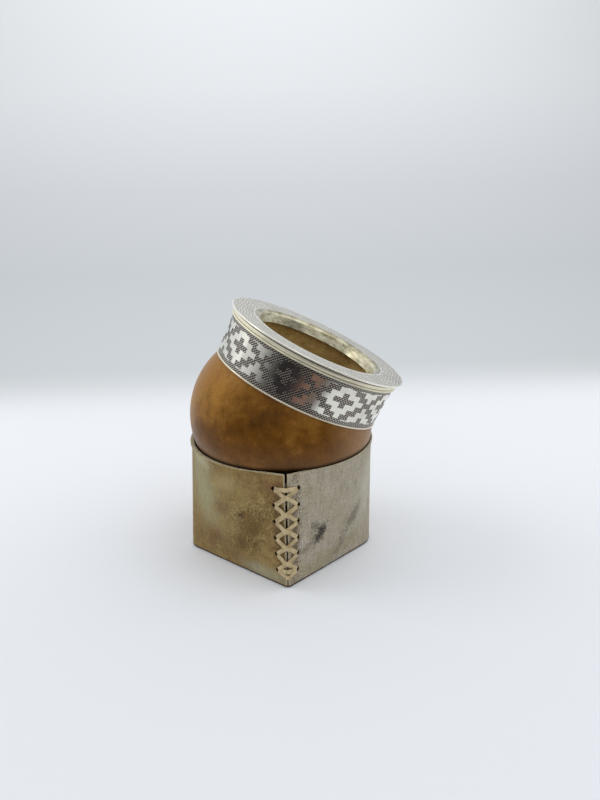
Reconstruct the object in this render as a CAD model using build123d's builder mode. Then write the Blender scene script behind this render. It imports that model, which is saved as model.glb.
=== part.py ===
from build123d import *
from math import acos, asin, cos, degrees, radians, sin, sqrt
import os

# A mate gourd cup with a metal collar, leaning in a laced rawhide stand. Millimetres.
# The stand rests on Z = 0 with its middle at the origin and its laced corner at -Y.
# The cup leans towards +X. Its own sizes are measured from the middle of the gourd,
# along and around the cup's axis.

# Gourd
GOURD_RADIUS = 43.2          # widest radius across the cup's axis
GOURD_HALF_HEIGHT = 40.2     # middle of the gourd to its lowest point, along the axis
GOURD_WALL = 5.0
NECK_SLOPE = 0.2             # how far the neck still leans in at its top, for each mm up
LEAN = 26.8                  # degrees between the cup's axis and the vertical
LEAN_HEADING = 7.0           # degrees the lean is turned from +X towards +Y

# Collar, from its lower edge up
COLLAR_FOOT = 16.4           # height of the lower edge above the gourd's middle
WIRE_SIZE = 0.9              # height and width of the wire round the lower edge
BAND_HEIGHT = 18.7
BAND_FLARE = 0.8             # how much wider the band is at its top
BAND_SHEET = 0.7
MOULDING_HEIGHT = 3.2
MOULDING_PROUD = 0.4         # seat of the beads, out from the band
BEAD_HEIGHT = 1.0            # the thin lower bead
RIDGE_BULGE = 0.8            # how far the wide upper ridge swells
FLANGE_THICKNESS = 1.2
FLANGE_OVERHANG = 2.5        # out from the seat of the beads
FLANGE_EDGE = 0.4            # rounding of the flange's outer edge

# Throat: the polished lip round the mouth and the sleeve that hangs from it
THROAT_RADIUS = 27.6         # inside the sleeve's lower end
THROAT_TAPER = 1.7           # how much wider the sleeve is at its top
THROAT_DEPTH = 5.0           # top of the flange to the sleeve's lower end
THROAT_SHEET = 0.8
LIP_WIDTH = 2.7              # the sloping ring between the flange and the sleeve
LIP_DROP = 0.9
SHOULDER_HEIGHT = 0.6        # the ledge that carries the flange
SHOULDER_REACH = 1.2

# Stand: one strip of rawhide, square at the foot and round at the rim
STAND_HEIGHT = 56.0
SEAT_DROP = 9.2              # rim of the stand to the middle of the gourd
HIDE = 1.9                   # thickness of the rawhide
RIM_LAND = 1.0               # rim left outside the gourd where it sits deepest
FLARE = 1.0                  # how far the rim is pushed out
FLARE_HEIGHT = 4.5
CORNER_REACH = 3.6           # how far the laced corner stands out from the round rim
FOOT_REACH = 3.6             # the same at the foot, for all four corners
FOLD_RADII = (12.0, 8.0, 6.0)  # outer radii of the folds at the foot: +X, back, -X
FOLD_SPREAD = 9.0            # degrees each side over which a fold runs out at the rim
SEAM_GAP_TOP = 1.1
SEAM_GAP_FOOT = 0.5

# Lacing up the corner
LACE_WIDTH = 2.1
LACE_THICKNESS = 0.8
LACE_ROWS = 6
LACE_INSET = 5.8             # seam to the middle of each hole, along the hide
LACE_FIRST = 7.9             # height of the lowest row
LACE_TOP_MARGIN = 2.9        # highest row to the start of the flare
LACE_LOOP_DROP = 4.2         # how far the lowest strap dips below its row at the seam
LACE_HOLE_RADIUS = 1.3

# Clearances
SEAT_GAP = 0.15              # gourd to the rawhide, the wire and the band
NECK_GAP = 0.2               # neck of the gourd to the throat
FLANGE_GAP = 0.05            # bore of the flange to the lip
LACE_GAP = 0.15              # lace to the hide, and to the sides of its holes

os.makedirs("parts", exist_ok=True)


def shoulder_radius(height, grow=0.0):
    """Radius of the gourd at a height above its middle, grown all round by a gap."""
    half_height = GOURD_HALF_HEIGHT + grow
    return (GOURD_RADIUS + grow) * sqrt(1 - (height / half_height) ** 2)


# Heights of the collar's pieces above the middle of the gourd
band_foot = COLLAR_FOOT + WIRE_SIZE
band_top = band_foot + BAND_HEIGHT
flange_bottom = band_top + MOULDING_HEIGHT
flange_top = flange_bottom + FLANGE_THICKNESS
throat_foot = flange_top - THROAT_DEPTH
shoulder_foot = flange_bottom - SHOULDER_HEIGHT
neck_top = shoulder_foot - NECK_GAP

# Radii of the collar's pieces about the cup's axis
wire_inner = shoulder_radius(COLLAR_FOOT, SEAT_GAP)
band_inner = shoulder_radius(band_foot, SEAT_GAP)
band_inner_top = band_inner + BAND_FLARE
moulding_radius = band_inner_top + BAND_SHEET + MOULDING_PROUD
flange_radius = moulding_radius + FLANGE_OVERHANG
throat_top_radius = THROAT_RADIUS + THROAT_TAPER
lip_radius = throat_top_radius + LIP_WIDTH
neck_inner = throat_top_radius + THROAT_SHEET + NECK_GAP

# The gourd sits in the rim where a level circle round it clears the rawhide
lean = radians(LEAN)
seat_reach = GOURD_RADIUS + SEAT_GAP
seat_half_height = GOURD_HALF_HEIGHT + SEAT_GAP
seat_curve = (sin(lean) / seat_reach) ** 2 + (cos(lean) / seat_half_height) ** 2
seat_radius = seat_reach * sqrt(1 - SEAT_DROP**2 * seat_curve)
rim_radius = seat_radius + RIM_LAND
cup_height = STAND_HEIGHT + SEAT_DROP

cup_axis_direction = Vector(0, 0, 1).rotate(Axis.Y, LEAN).rotate(Axis.Z, LEAN_HEADING)
cup_side = Vector(1, 0, 0).rotate(Axis.Y, LEAN).rotate(Axis.Z, LEAN_HEADING)
cup_middle = Vector(0, 0, cup_height)
cup_axis = Axis(cup_middle, cup_axis_direction)
# Sections of the cup's turned pieces: x is the radius and y the height above the middle
cup_section = Plane(cup_middle, x_dir=cup_side, z_dir=cup_side.cross(cup_axis_direction))


# The gourd, hollow, with its neck cut off level under the flange
def gourd_side(radius, half_height, neck_radius):
    """Lower pole to the top of the neck: an ellipse up to the collar, then the neck."""
    join = degrees(asin(COLLAR_FOOT / half_height))
    belly = EllipticalCenterArc((0, 0), radius, half_height, -90, arc_size=90 + join)
    Spline(belly @ 1, (neck_radius, neck_top), tangents=[belly % 1, (-NECK_SLOPE, 1)])


with BuildPart() as gourd_shell:
    with BuildSketch(cup_section):
        with BuildLine():
            gourd_side(GOURD_RADIUS, GOURD_HALF_HEIGHT, neck_inner + GOURD_WALL)
            Line((neck_inner, neck_top), (neck_inner + GOURD_WALL, neck_top))
            gourd_side(GOURD_RADIUS - GOURD_WALL, GOURD_HALF_HEIGHT - GOURD_WALL, neck_inner)
            Line((0, -GOURD_HALF_HEIGHT), (0, GOURD_WALL - GOURD_HALF_HEIGHT))
        make_face()
    revolve(axis=cup_axis)
gourd_shell.part.label = "gourd_shell"


# Wire round the collar's lower edge, half round on the outside
with BuildPart() as collar_wire:
    with BuildSketch(cup_section):
        with BuildLine():
            wire_face = wire_inner + WIRE_SIZE / 2
            Polyline(
                (wire_face, COLLAR_FOOT),
                (wire_inner, COLLAR_FOOT),
                (wire_inner, band_foot),
                (wire_face, band_foot),
            )
            ThreePointArc(
                (wire_face, band_foot),
                (wire_inner + WIRE_SIZE, (COLLAR_FOOT + band_foot) / 2),
                (wire_face, COLLAR_FOOT),
            )
        make_face()
    revolve(axis=cup_axis)
collar_wire.part.label = "collar_wire"


# The band: a sheet a little wider at its top
with BuildPart() as collar_band:
    with BuildSketch(cup_section):
        with BuildLine():
            Polyline(
                (band_inner, band_foot),
                (band_inner + BAND_SHEET, band_foot),
                (band_inner_top + BAND_SHEET, band_top),
                (band_inner_top, band_top),
                close=True,
            )
        make_face()
    revolve(axis=cup_axis)
collar_band.part.label = "collar_band"


# Moulding: a thin bead with a wide ridge above it
with BuildPart() as collar_moulding:
    with BuildSketch(cup_section):
        with BuildLine():
            bead_top = band_top + BEAD_HEIGHT
            Polyline(
                (moulding_radius, flange_bottom),
                (band_inner_top, flange_bottom),
                (band_inner_top, band_top),
                (moulding_radius, band_top),
            )
            ThreePointArc(
                (moulding_radius, band_top),
                (moulding_radius + BEAD_HEIGHT / 2, band_top + BEAD_HEIGHT / 2),
                (moulding_radius, bead_top),
            )
            ThreePointArc(
                (moulding_radius, bead_top),
                (moulding_radius + RIDGE_BULGE, (bead_top + flange_bottom) / 2),
                (moulding_radius, flange_bottom),
            )
        make_face()
    revolve(axis=cup_axis)
collar_moulding.part.label = "collar_moulding"


# Flange: a flat ring with a rounded outer edge
with BuildPart() as collar_flange:
    with BuildSketch(cup_section):
        with BuildLine():
            flange_bore = lip_radius + FLANGE_GAP
            Polyline(
                (flange_bore, flange_bottom),
                (flange_radius, flange_bottom),
                (flange_radius, flange_top),
                (flange_bore, flange_top),
                close=True,
            )
        make_face()
    revolve(axis=cup_axis)
    outer_edges = collar_flange.edges().filter_by(GeomType.CIRCLE).sort_by(lambda edge: edge.radius)[-2:]
    fillet(outer_edges, FLANGE_EDGE)
collar_flange.part.label = "collar_flange"


# Throat: sloping lip, tapered sleeve, and the ledge under the flange
with BuildPart() as collar_throat:
    with BuildSketch(cup_section):
        with BuildLine():
            sleeve_top = flange_top - LIP_DROP
            sleeve_slope = THROAT_TAPER / (sleeve_top - throat_foot)
            sleeve_outer_top = THROAT_RADIUS + THROAT_SHEET + sleeve_slope * (shoulder_foot - throat_foot)
            Polyline(
                (throat_top_radius, sleeve_top),
                (THROAT_RADIUS, throat_foot),
                (THROAT_RADIUS + THROAT_SHEET, throat_foot),
                (sleeve_outer_top, shoulder_foot),
                (lip_radius + SHOULDER_REACH, shoulder_foot),
                (lip_radius + SHOULDER_REACH, flange_bottom),
                (lip_radius, flange_bottom),
                (lip_radius, flange_top),
            )
            RadiusArc((lip_radius, flange_top), (throat_top_radius, sleeve_top), -2 * LIP_WIDTH)
        make_face()
    revolve(axis=cup_axis)
collar_throat.part.label = "collar_throat"


# Outlines of the stand, anticlockwise from the laced corner
wall_top = STAND_HEIGHT - FLARE_HEIGHT
wall_radius = rim_radius - FLARE
wall_corner = wall_radius + CORNER_REACH
foot_corner = rim_radius + FOOT_REACH


def straight_run(radius, corner):
    """Length of the straight edge from the laced corner to where it meets the circle."""
    return sqrt(corner**2 - radius**2)


def round_outline(radius, corner):
    """A circle drawn out to the laced corner, in the same nine edges as the foot."""
    turn = degrees(acos(radius / corner))
    starts = [turn - 90, -FOLD_SPREAD]
    for quarter in (0, 90):
        starts += [quarter + FOLD_SPREAD, quarter + 90 - FOLD_SPREAD]
    starts += [180 + FOLD_SPREAD, 270 - turn]
    arcs = [CenterArc((0, 0), radius, start, end - start) for start, end in zip(starts, starts[1:])]
    Line((0, -corner), arcs[0] @ 0)
    Line(arcs[-1] @ 1, (0, -corner))


def foot_outline(corner, fold_radii, run):
    """A square on its corner: the laced corner sharp, the three others folded round."""
    folds = []
    for turn, radius in zip((0, 90, 180), fold_radii):
        reach = corner - sqrt(2) * radius
        spot = (reach * cos(radians(turn)), reach * sin(radians(turn)))
        folds.append(CenterArc(spot, radius, turn - 45, 90))
    for fold, following in zip(folds, folds[1:]):
        Line(fold @ 1, following @ 0)
    for side, fold_end in ((1, folds[0] @ 0), (-1, folds[2] @ 1)):
        split = (side * run / sqrt(2), run / sqrt(2) - corner)
        Line((0, -corner), split)
        Line(split, fold_end)


def stand_sections(inset):
    """Faces inside the wall's outline at the foot, below the flare and at the rim."""
    radius = wall_radius - inset
    corner = wall_corner * radius / wall_radius
    with BuildSketch(Plane.XY) as foot:
        with BuildLine():
            fold_radii = [outer - inset for outer in FOLD_RADII]
            foot_outline(foot_corner - sqrt(2) * inset, fold_radii, straight_run(radius, corner))
        make_face()
    with BuildSketch(Plane.XY.offset(wall_top)) as below_flare:
        with BuildLine():
            round_outline(radius, corner)
        make_face()
    rim_inner = rim_radius - inset
    with BuildSketch(Plane.XY.offset(STAND_HEIGHT)) as rim:
        with BuildLine():
            round_outline(rim_inner, (rim_radius + CORNER_REACH) * rim_inner / rim_radius)
        make_face()
    return [foot.sketch, below_flare.sketch, rim.sketch]


# The laced corner: two flat faces that meet at the seam, and what lies on them
foot_edge = Vector(1, 1, 0).normalized()
wall_edge = Vector(wall_radius, straight_run(wall_radius, wall_corner), 0).normalized()


def corner_point(reach, height):
    """Point of the outer face a distance from the seam, on the +X side."""
    share = height / wall_top
    low = Vector(0, -foot_corner, 0) + foot_edge * reach
    high = Vector(0, -wall_corner, wall_top) + wall_edge * reach
    return low * (1 - share) + high * share


def corner_normal(reach, height):
    """Outward normal of that face."""
    along = corner_point(reach + 1, height) - corner_point(reach, height)
    up = corner_point(reach, height + 1) - corner_point(reach, height)
    return along.cross(up).normalized()


def seam_point(height):
    """Where the middles of the straps from both sides meet in front of the seam."""
    normal = corner_normal(0, height)
    lift = (LACE_GAP + LACE_THICKNESS / 2) / -normal.Y
    return corner_point(0, height) - Vector(0, lift, 0)


def hole_plane(height):
    """Plane on the outer face at a lacing hole, facing out."""
    along = corner_point(LACE_INSET + 1, height) - corner_point(LACE_INSET, height)
    return Plane(corner_point(LACE_INSET, height), x_dir=along, z_dir=corner_normal(LACE_INSET, height))


def strap(start, end, face):
    """A straight flat strap between two points, lying along a face's normal."""
    run = end - start
    side = face.cross(run)
    middle = Plane((start + end) * 0.5, x_dir=run, z_dir=run.cross(side))
    with Locations(middle):
        Box(run.length, LACE_WIDTH, LACE_THICKNESS)


lace_top = wall_top - LACE_TOP_MARGIN
lace_step = (lace_top - LACE_FIRST) / (LACE_ROWS - 1)
lace_heights = [LACE_FIRST + lace_step * row for row in range(LACE_ROWS)]
lace_lift = LACE_GAP + LACE_THICKNESS / 2

# The shape that the gourd presses into the rim and the lace behind it
with BuildPart() as gourd_seat:
    with BuildSketch(cup_section):
        with BuildLine():
            EllipticalCenterArc((0, 0), seat_reach, seat_half_height, -90, arc_size=180)
            Line((0, -seat_half_height), (0, seat_half_height))
        make_face()
    revolve(axis=cup_axis)

# Lacing holes up both sides of the corner
with BuildPart() as lacing_holes:
    for height in lace_heights:
        with Locations(hole_plane(height)):
            Cylinder(LACE_HOLE_RADIUS, 4 * HIDE)
    mirror(about=Plane.YZ)

# The rawhide strip, with its seat, the slit between its ends and the lacing holes
outer_sections = stand_sections(0)
inner_sections = stand_sections(HIDE)
with BuildPart() as stand_hide:
    loft(outer_sections, ruled=True)
    loft(inner_sections, ruled=True, mode=Mode.SUBTRACT)
    add([gourd_seat.part, lacing_holes.part], mode=Mode.SUBTRACT)
    with BuildSketch(Plane.XZ):
        with BuildLine():
            foot_half = SEAM_GAP_FOOT / 2
            top_half = SEAM_GAP_TOP / 2
            Polyline(
                (-foot_half, 0),
                (foot_half, 0),
                (top_half, STAND_HEIGHT),
                (-top_half, STAND_HEIGHT),
                close=True,
            )
        make_face()
    extrude(amount=foot_corner + CORNER_REACH, mode=Mode.SUBTRACT)
stand_hide.part.label = "stand_hide"

# The lace: crosses over the corner outside, a bar between each pair of holes inside
with BuildPart() as stand_lace:
    for row, height in enumerate(lace_heights):
        face = hole_plane(height)
        outside = face.origin + face.z_dir * lace_lift
        for crossing in (height - lace_step / 2, height + lace_step / 2):
            if lace_heights[0] < crossing < lace_heights[-1]:
                strap(seam_point(crossing), outside, face.z_dir)
        if row in (0, LACE_ROWS - 1):
            strap(seam_point(height), outside, face.z_dir)
        with Locations(face.offset(-HIDE / 2)):
            Cylinder(LACE_HOLE_RADIUS - LACE_GAP, HIDE + 2 * (LACE_GAP + LACE_THICKNESS))
    lowest = hole_plane(lace_heights[0])
    loop_end = lowest.origin + lowest.z_dir * lace_lift
    strap(seam_point(lace_heights[0] - LACE_LOOP_DROP), loop_end, lowest.z_dir)
    mirror(about=Plane.YZ)
    for height in lace_heights:
        face = hole_plane(height)
        inside = face.origin - face.z_dir * (HIDE + lace_lift)
        strap(inside, Vector(-inside.X, inside.Y, inside.Z), Vector(0, 1, 0))
    add(gourd_seat.part, mode=Mode.SUBTRACT)
stand_lace.part.label = "stand_lace"

collar = (collar_wire, collar_band, collar_moulding, collar_flange, collar_throat)
for piece in (gourd_shell, *collar, stand_hide, stand_lace):
    export_step(piece.part, f"parts/{piece.part.label}.step")
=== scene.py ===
"""Looks for a mate gourd cup that leans in its laced rawhide stand.

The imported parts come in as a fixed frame, and every visible piece is modelled here to stand for
one of them. The gourd and its collar are made in the cup's own frame, with the cup's axis as Z,
and then leaned over. The rawhide strip and its lacing are made where they stand. Sizes are written
in millimetres, and a mesh is made in metres.
"""

import logging
import math
from collections.abc import Callable, Iterable, Sequence
from dataclasses import dataclass, field
from enum import Enum
from functools import cache

import bmesh
import bpy
import numpy as np
from mathutils import Euler, Matrix, Vector, noise


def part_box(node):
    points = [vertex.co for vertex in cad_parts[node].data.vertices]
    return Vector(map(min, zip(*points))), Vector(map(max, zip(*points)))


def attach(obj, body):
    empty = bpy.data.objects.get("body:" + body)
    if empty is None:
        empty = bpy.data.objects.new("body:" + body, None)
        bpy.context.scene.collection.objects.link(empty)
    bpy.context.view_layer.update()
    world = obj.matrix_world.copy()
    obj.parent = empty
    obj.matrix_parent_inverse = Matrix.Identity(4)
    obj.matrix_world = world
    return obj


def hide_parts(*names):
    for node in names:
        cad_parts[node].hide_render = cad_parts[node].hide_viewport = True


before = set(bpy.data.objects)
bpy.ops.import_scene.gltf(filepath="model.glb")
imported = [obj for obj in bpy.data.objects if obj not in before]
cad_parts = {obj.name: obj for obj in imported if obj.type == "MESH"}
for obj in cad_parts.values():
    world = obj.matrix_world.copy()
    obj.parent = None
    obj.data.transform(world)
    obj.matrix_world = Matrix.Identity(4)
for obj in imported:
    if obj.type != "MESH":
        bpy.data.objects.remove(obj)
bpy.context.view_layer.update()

log = logging.getLogger("mate_cup")
MM = 0.001
WELD = 0.002
BODY = "root"
HOLLOW_AND_SHADE = "hollow"
WORKED = "worked"
STRIP_MAP = "strip"
STRAP_FACE = "face"
STRAP_SCALE = "scale"

Colour = tuple[float, float, float, float]
Point = tuple[float, float]
Spot = tuple[float, float, float]
Step = tuple[Vector, Vector]


def srgb(red: float, green: float, blue: float) -> Colour:
    """Gives the linear colour of screen values.

    Args:
        red: Red, from 0 to 255.
        green: Green.
        blue: Blue.

    Returns:
        The colour, opaque.
    """
    shares = np.array((red, green, blue)) / 255
    linear = np.where(shares <= 0.04045, shares / 12.92, ((shares + 0.055) / 1.055) ** 2.4)
    return (*map(float, linear), 1.0)


# ---------------------------------------------------------------- node graphs


def arithmetic(operation: str) -> tuple[Callable, Callable]:
    """Makes the two methods behind an arithmetic sign.

    Args:
        operation: The operation of the Math node that the sign adds.

    Returns:
        The method for a signal on the sign's left, and the reflected one for its right.
    """

    def plain(self: "Signal", other: object) -> "Signal":
        """Combines the signal with a signal or number after it."""
        return self.combine(operation, self, other)

    def reflected(self: "Signal", other: object) -> "Signal":
        """Combines the signal with a number before it."""
        return self.combine(operation, other, self)

    return plain, reflected


class Signal:
    """An output socket that takes part in Python expressions."""

    def __init__(self, graph: "Graph", socket: bpy.types.NodeSocket) -> None:
        """Keeps the socket and the graph it belongs to."""
        self.graph = graph
        self.socket = socket

    def combine(self, operation: str, first: object, second: object = None) -> "Signal":
        """Adds a Math node, or a Vector Math node where either side is a vector.

        Args:
            operation: The node's operation.
            first: The upper input, a signal or a number.
            second: The lower input, if the operation has one.

        Returns:
            The result's signal.
        """
        sides = [side for side in (first, second) if isinstance(side, Signal)]
        vector = any(side.socket.type in ("VECTOR", "RGBA") for side in sides)
        kind = "ShaderNodeVectorMath" if vector else "ShaderNodeMath"
        inputs = {0: first} if second is None else {0: first, 1: second}
        made = self.graph.add(kind, {"operation": operation}, inputs)
        return made["Value" if not vector or operation in ("DOT_PRODUCT", "LENGTH") else "Vector"]

    __add__, __radd__ = arithmetic("ADD")
    __sub__, __rsub__ = arithmetic("SUBTRACT")
    __mul__, __rmul__ = arithmetic("MULTIPLY")
    __truediv__, __rtruediv__ = arithmetic("DIVIDE")
    __pow__, __rpow__ = arithmetic("POWER")

    def __abs__(self) -> "Signal":
        """Drops the sign."""
        return self.combine("ABSOLUTE", self)

    def of(self, operation: str, other: object = None) -> "Signal":
        """Applies any other operation that has no sign in Python, such as SINE or MINIMUM."""
        return self.combine(operation, self, other)


class Outputs:
    """The outputs of a node, by name or by number."""

    def __init__(self, graph: "Graph", node: bpy.types.Node) -> None:
        """Keeps the node and its graph."""
        self.graph = graph
        self.node = node

    def __getitem__(self, key: int | str) -> Signal:
        """Gives the signal of one output."""
        return Signal(self.graph, self.graph.find(self.node.outputs, key))


class Graph:
    """A shader or geometry node tree under construction."""

    def __init__(self, tree: bpy.types.NodeTree) -> None:
        """Starts with an empty tree."""
        self.tree = tree
        tree.nodes.clear()

    @classmethod
    def on(cls, owner: bpy.types.Material | bpy.types.World) -> "Graph":
        """Starts the node graph of a material or world."""
        owner.use_nodes = True
        return cls(owner.node_tree)

    @staticmethod
    def find(sockets: Iterable[bpy.types.NodeSocket], key: int | str) -> bpy.types.NodeSocket:
        """Finds a socket by its number, or by name among those in use."""
        named = (socket for socket in sockets if socket.name == key and socket.enabled)
        return sockets[key] if isinstance(key, int) else next(named)

    def add(self, kind: str, settings: dict | None = None, inputs: dict | None = None) -> Outputs:
        """Adds a node.

        Args:
            kind: The node's type.
            settings: Its own settings, set first. "stops" fills a colour ramp.
            inputs: Values, signals or lists of signals by the socket's name or number.

        Returns:
            The node's outputs.
        """
        node = self.tree.nodes.new(kind)
        for name, value in (settings or {}).items():
            if name == "stops":
                self._fill_ramp(node.color_ramp, value)
            else:
                setattr(node, name, value)
        for key, value in (inputs or {}).items():
            socket = self.find(node.inputs, key)
            for part in value if isinstance(value, list) else [value]:
                self._feed(socket, part)
        return Outputs(self, node)

    def _feed(self, socket: bpy.types.NodeSocket, value: object) -> None:
        """Links a signal to a socket, or sets its value.

        Args:
            socket: The input socket.
            value: A signal, or a value. One number fills a vector.
        """
        if isinstance(value, Signal):
            self.tree.links.new(value.socket, socket)
        elif socket.type in ("VECTOR", "RGBA") and isinstance(value, (int, float)):
            socket.default_value = (value,) * len(socket.default_value)
        else:
            socket.default_value = value

    @staticmethod
    def _fill_ramp(ramp: bpy.types.ColorRamp, stops: Sequence[tuple[float, Colour]]) -> None:
        """Gives a colour ramp its stops.

        Args:
            ramp: The ramp.
            stops: Places and colours, from the lowest up.
        """
        while len(ramp.elements) < len(stops):
            ramp.elements.new(0.5)
        for element, (place, colour) in zip(ramp.elements, stops):
            element.position = place
            element.color = colour

    def take(self, name: str, kind: str = "Float") -> Signal:
        """Adds a named input to a node group.

        Args:
            name: The input's name.
            kind: What it takes, such as "Float", "Int" or "Object".

        Returns:
            Its signal.
        """
        self.tree.interface.new_socket(name, in_out="INPUT", socket_type=f"NodeSocket{kind}")
        node = self.tree.nodes.get("Group Input") or self.tree.nodes.new("NodeGroupInput")
        return Signal(self, self.find(node.outputs, name))

    def take_numbers(self, *names: str) -> list[Signal]:
        """Adds a named input for each of several numbers."""
        return [self.take(name) for name in names]

    def give(self, geometry: Signal, finish: Signal) -> None:
        """Ends a geometry tree in real geometry with its finish set.

        Args:
            geometry: The result.
            finish: Its material.
        """
        kind = "NodeSocketGeometry"
        self.tree.interface.new_socket("Geometry", in_out="OUTPUT", socket_type=kind)
        real = self.add("GeometryNodeRealizeInstances", None, {"Geometry": geometry})[0]
        inputs = {"Geometry": real, "Material": finish}
        dressed = self.add("GeometryNodeSetMaterial", None, inputs)[0]
        self.add("NodeGroupOutput", None, {"Geometry": dressed})

    def stored(self, name: str, kind: str = "FLOAT") -> Signal:
        """A named attribute, in a geometry tree."""
        node = self.add("GeometryNodeInputNamedAttribute", {"data_type": kind}, {"Name": name})
        return node["Attribute"]

    def painted(self, name: str) -> Signal:
        """A named number of the surface, in a shader."""
        return self.add("ShaderNodeAttribute", {"attribute_name": name})["Fac"]

    def coordinates(self) -> Signal:
        """Object coordinates in millimetres."""
        return self.add("ShaderNodeTexCoord")["Object"] * (1 / MM)

    def split(self, vector: Signal) -> tuple[Signal, Signal, Signal]:
        """The three parts of a vector."""
        parts = self.add("ShaderNodeSeparateXYZ", None, {0: vector})
        return parts[0], parts[1], parts[2]

    def join(self, x: object, y: object, z: object) -> Signal:
        """A vector from three parts."""
        return self.add("ShaderNodeCombineXYZ", None, {0: x, 1: y, 2: z})[0]

    def noise(self, place: Signal, size: float, detail: float = 2.0, rough: float = 0.5,
              twist: float = 0.0) -> Signal:
        """Soft noise from 0 to 1.

        Args:
            place: Coordinates in millimetres.
            size: Width of the largest lumps, in millimetres.
            detail: Number of finer layers.
            rough: How strong the finer layers are.
            twist: Distortion of the pattern.

        Returns:
            The noise.
        """
        inputs = {"Vector": place, "Scale": 1 / size, "Detail": detail, "Roughness": rough,
                  "Distortion": twist}
        return self.add("ShaderNodeTexNoise", None, inputs)[0]

    def cells(self, place: Signal, size: float) -> Signal:
        """Distance to the nearest of scattered points, in shares of their spacing."""
        return self.add("ShaderNodeTexVoronoi", None, {"Vector": place, "Scale": 1 / size})[0]

    def step(self, value: Signal, start: float, end: float) -> Signal:
        """A smooth step from 0 to 1.

        Args:
            value: The number that the step follows.
            start: Where the step is 0.
            end: Where it is 1, above or below the start.

        Returns:
            The step.
        """
        low, high = sorted((start, end))
        inputs = {"Value": value, "From Min": low, "From Max": high}
        inputs |= {"To Min": float(start > end), "To Max": float(start <= end)}
        return self.add("ShaderNodeMapRange", {"interpolation_type": "SMOOTHSTEP"}, inputs)[0]

    def mix(self, share: object, first: object, second: object) -> Signal:
        """Mixes two colours."""
        inputs = {"Factor": share, "A": first, "B": second}
        return self.add("ShaderNodeMix", {"data_type": "RGBA"}, inputs)["Result"]

    def mix_shaders(self, share: Signal, first: Signal, second: Signal) -> Signal:
        """Mixes two shaders."""
        return self.add("ShaderNodeMixShader", None, {0: share, 1: first, 2: second})[0]

    def tint(self, colour: object, strength: Signal) -> Signal:
        """Makes a colour lighter or darker by a number."""
        inputs = {0: colour, "Scale": strength}
        return self.add("ShaderNodeVectorMath", {"operation": "SCALE"}, inputs)[0]

    def ramp(self, value: Signal, *stops: tuple[float, Colour]) -> Signal:
        """Turns a number into a colour between stops."""
        return self.add("ShaderNodeValToRGB", {"stops": stops}, {0: value})["Color"]

    def bump(self, height: Signal, depth: float, under: Signal | None = None) -> Signal:
        """A normal from a height.

        Args:
            height: The height, from 0 to 1.
            depth: What a height of 1 stands for, in millimetres.
            under: The normal that the bumps lie on, if it isn't the surface's own.

        Returns:
            The normal.
        """
        inputs = {"Height": height, "Distance": depth * MM, "Strength": 1.0}
        if under is not None:
            inputs["Normal"] = under
        return self.add("ShaderNodeBump", None, inputs)[0]


# ---------------------------------------------------------------- finishes


@dataclass(frozen=True)
class Finish:
    """A surface finish that makes its own material."""

    name: str

    def surface(self, graph: Graph) -> dict:
        """Gives the inputs of the finish's shader.

        Args:
            graph: The material's node graph.

        Returns:
            Values and signals by the name of the socket.
        """
        raise NotImplementedError

    @cache
    def material(self) -> bpy.types.Material:
        """Makes the material once.

        Returns:
            The material.
        """
        made = bpy.data.materials.new(self.name)
        graph = Graph.on(made)
        shader = graph.add("ShaderNodeBsdfPrincipled", None, self.surface(graph))
        graph.add("ShaderNodeOutputMaterial", None, {"Surface": shader[0]})
        return made


@dataclass(frozen=True)
class Lean:
    """Where the cup stands: its own frame, with its axis as Z, in the stand's frame."""

    middle: float
    tilt: float = 26.8
    heading: float = 7.0

    @property
    def turn(self) -> Euler:
        """The turn of the cup's frame."""
        tilted = Matrix.Rotation(math.radians(self.tilt), 3, "Y")
        return (Matrix.Rotation(math.radians(self.heading), 3, "Z") @ tilted).to_euler()

    @property
    def matrix(self) -> Matrix:
        """From the cup's frame to the stand's, in metres."""
        return Matrix.Translation((0, 0, self.middle * MM)) @ self.turn.to_matrix().to_4x4()

    def coordinates(self, graph: Graph) -> Signal:
        """Coordinates in the cup's own frame.

        Args:
            graph: The material's node graph.

        Returns:
            The coordinates, in millimetres.
        """
        inputs = {
            "Vector": graph.add("ShaderNodeTexCoord")["Object"],
            "Location": (0, 0, self.middle * MM),
            "Rotation": tuple(self.turn),
            "Scale": (MM, MM, MM),
        }
        return graph.add("ShaderNodeMapping", {"vector_type": "TEXTURE"}, inputs)[0]


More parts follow.
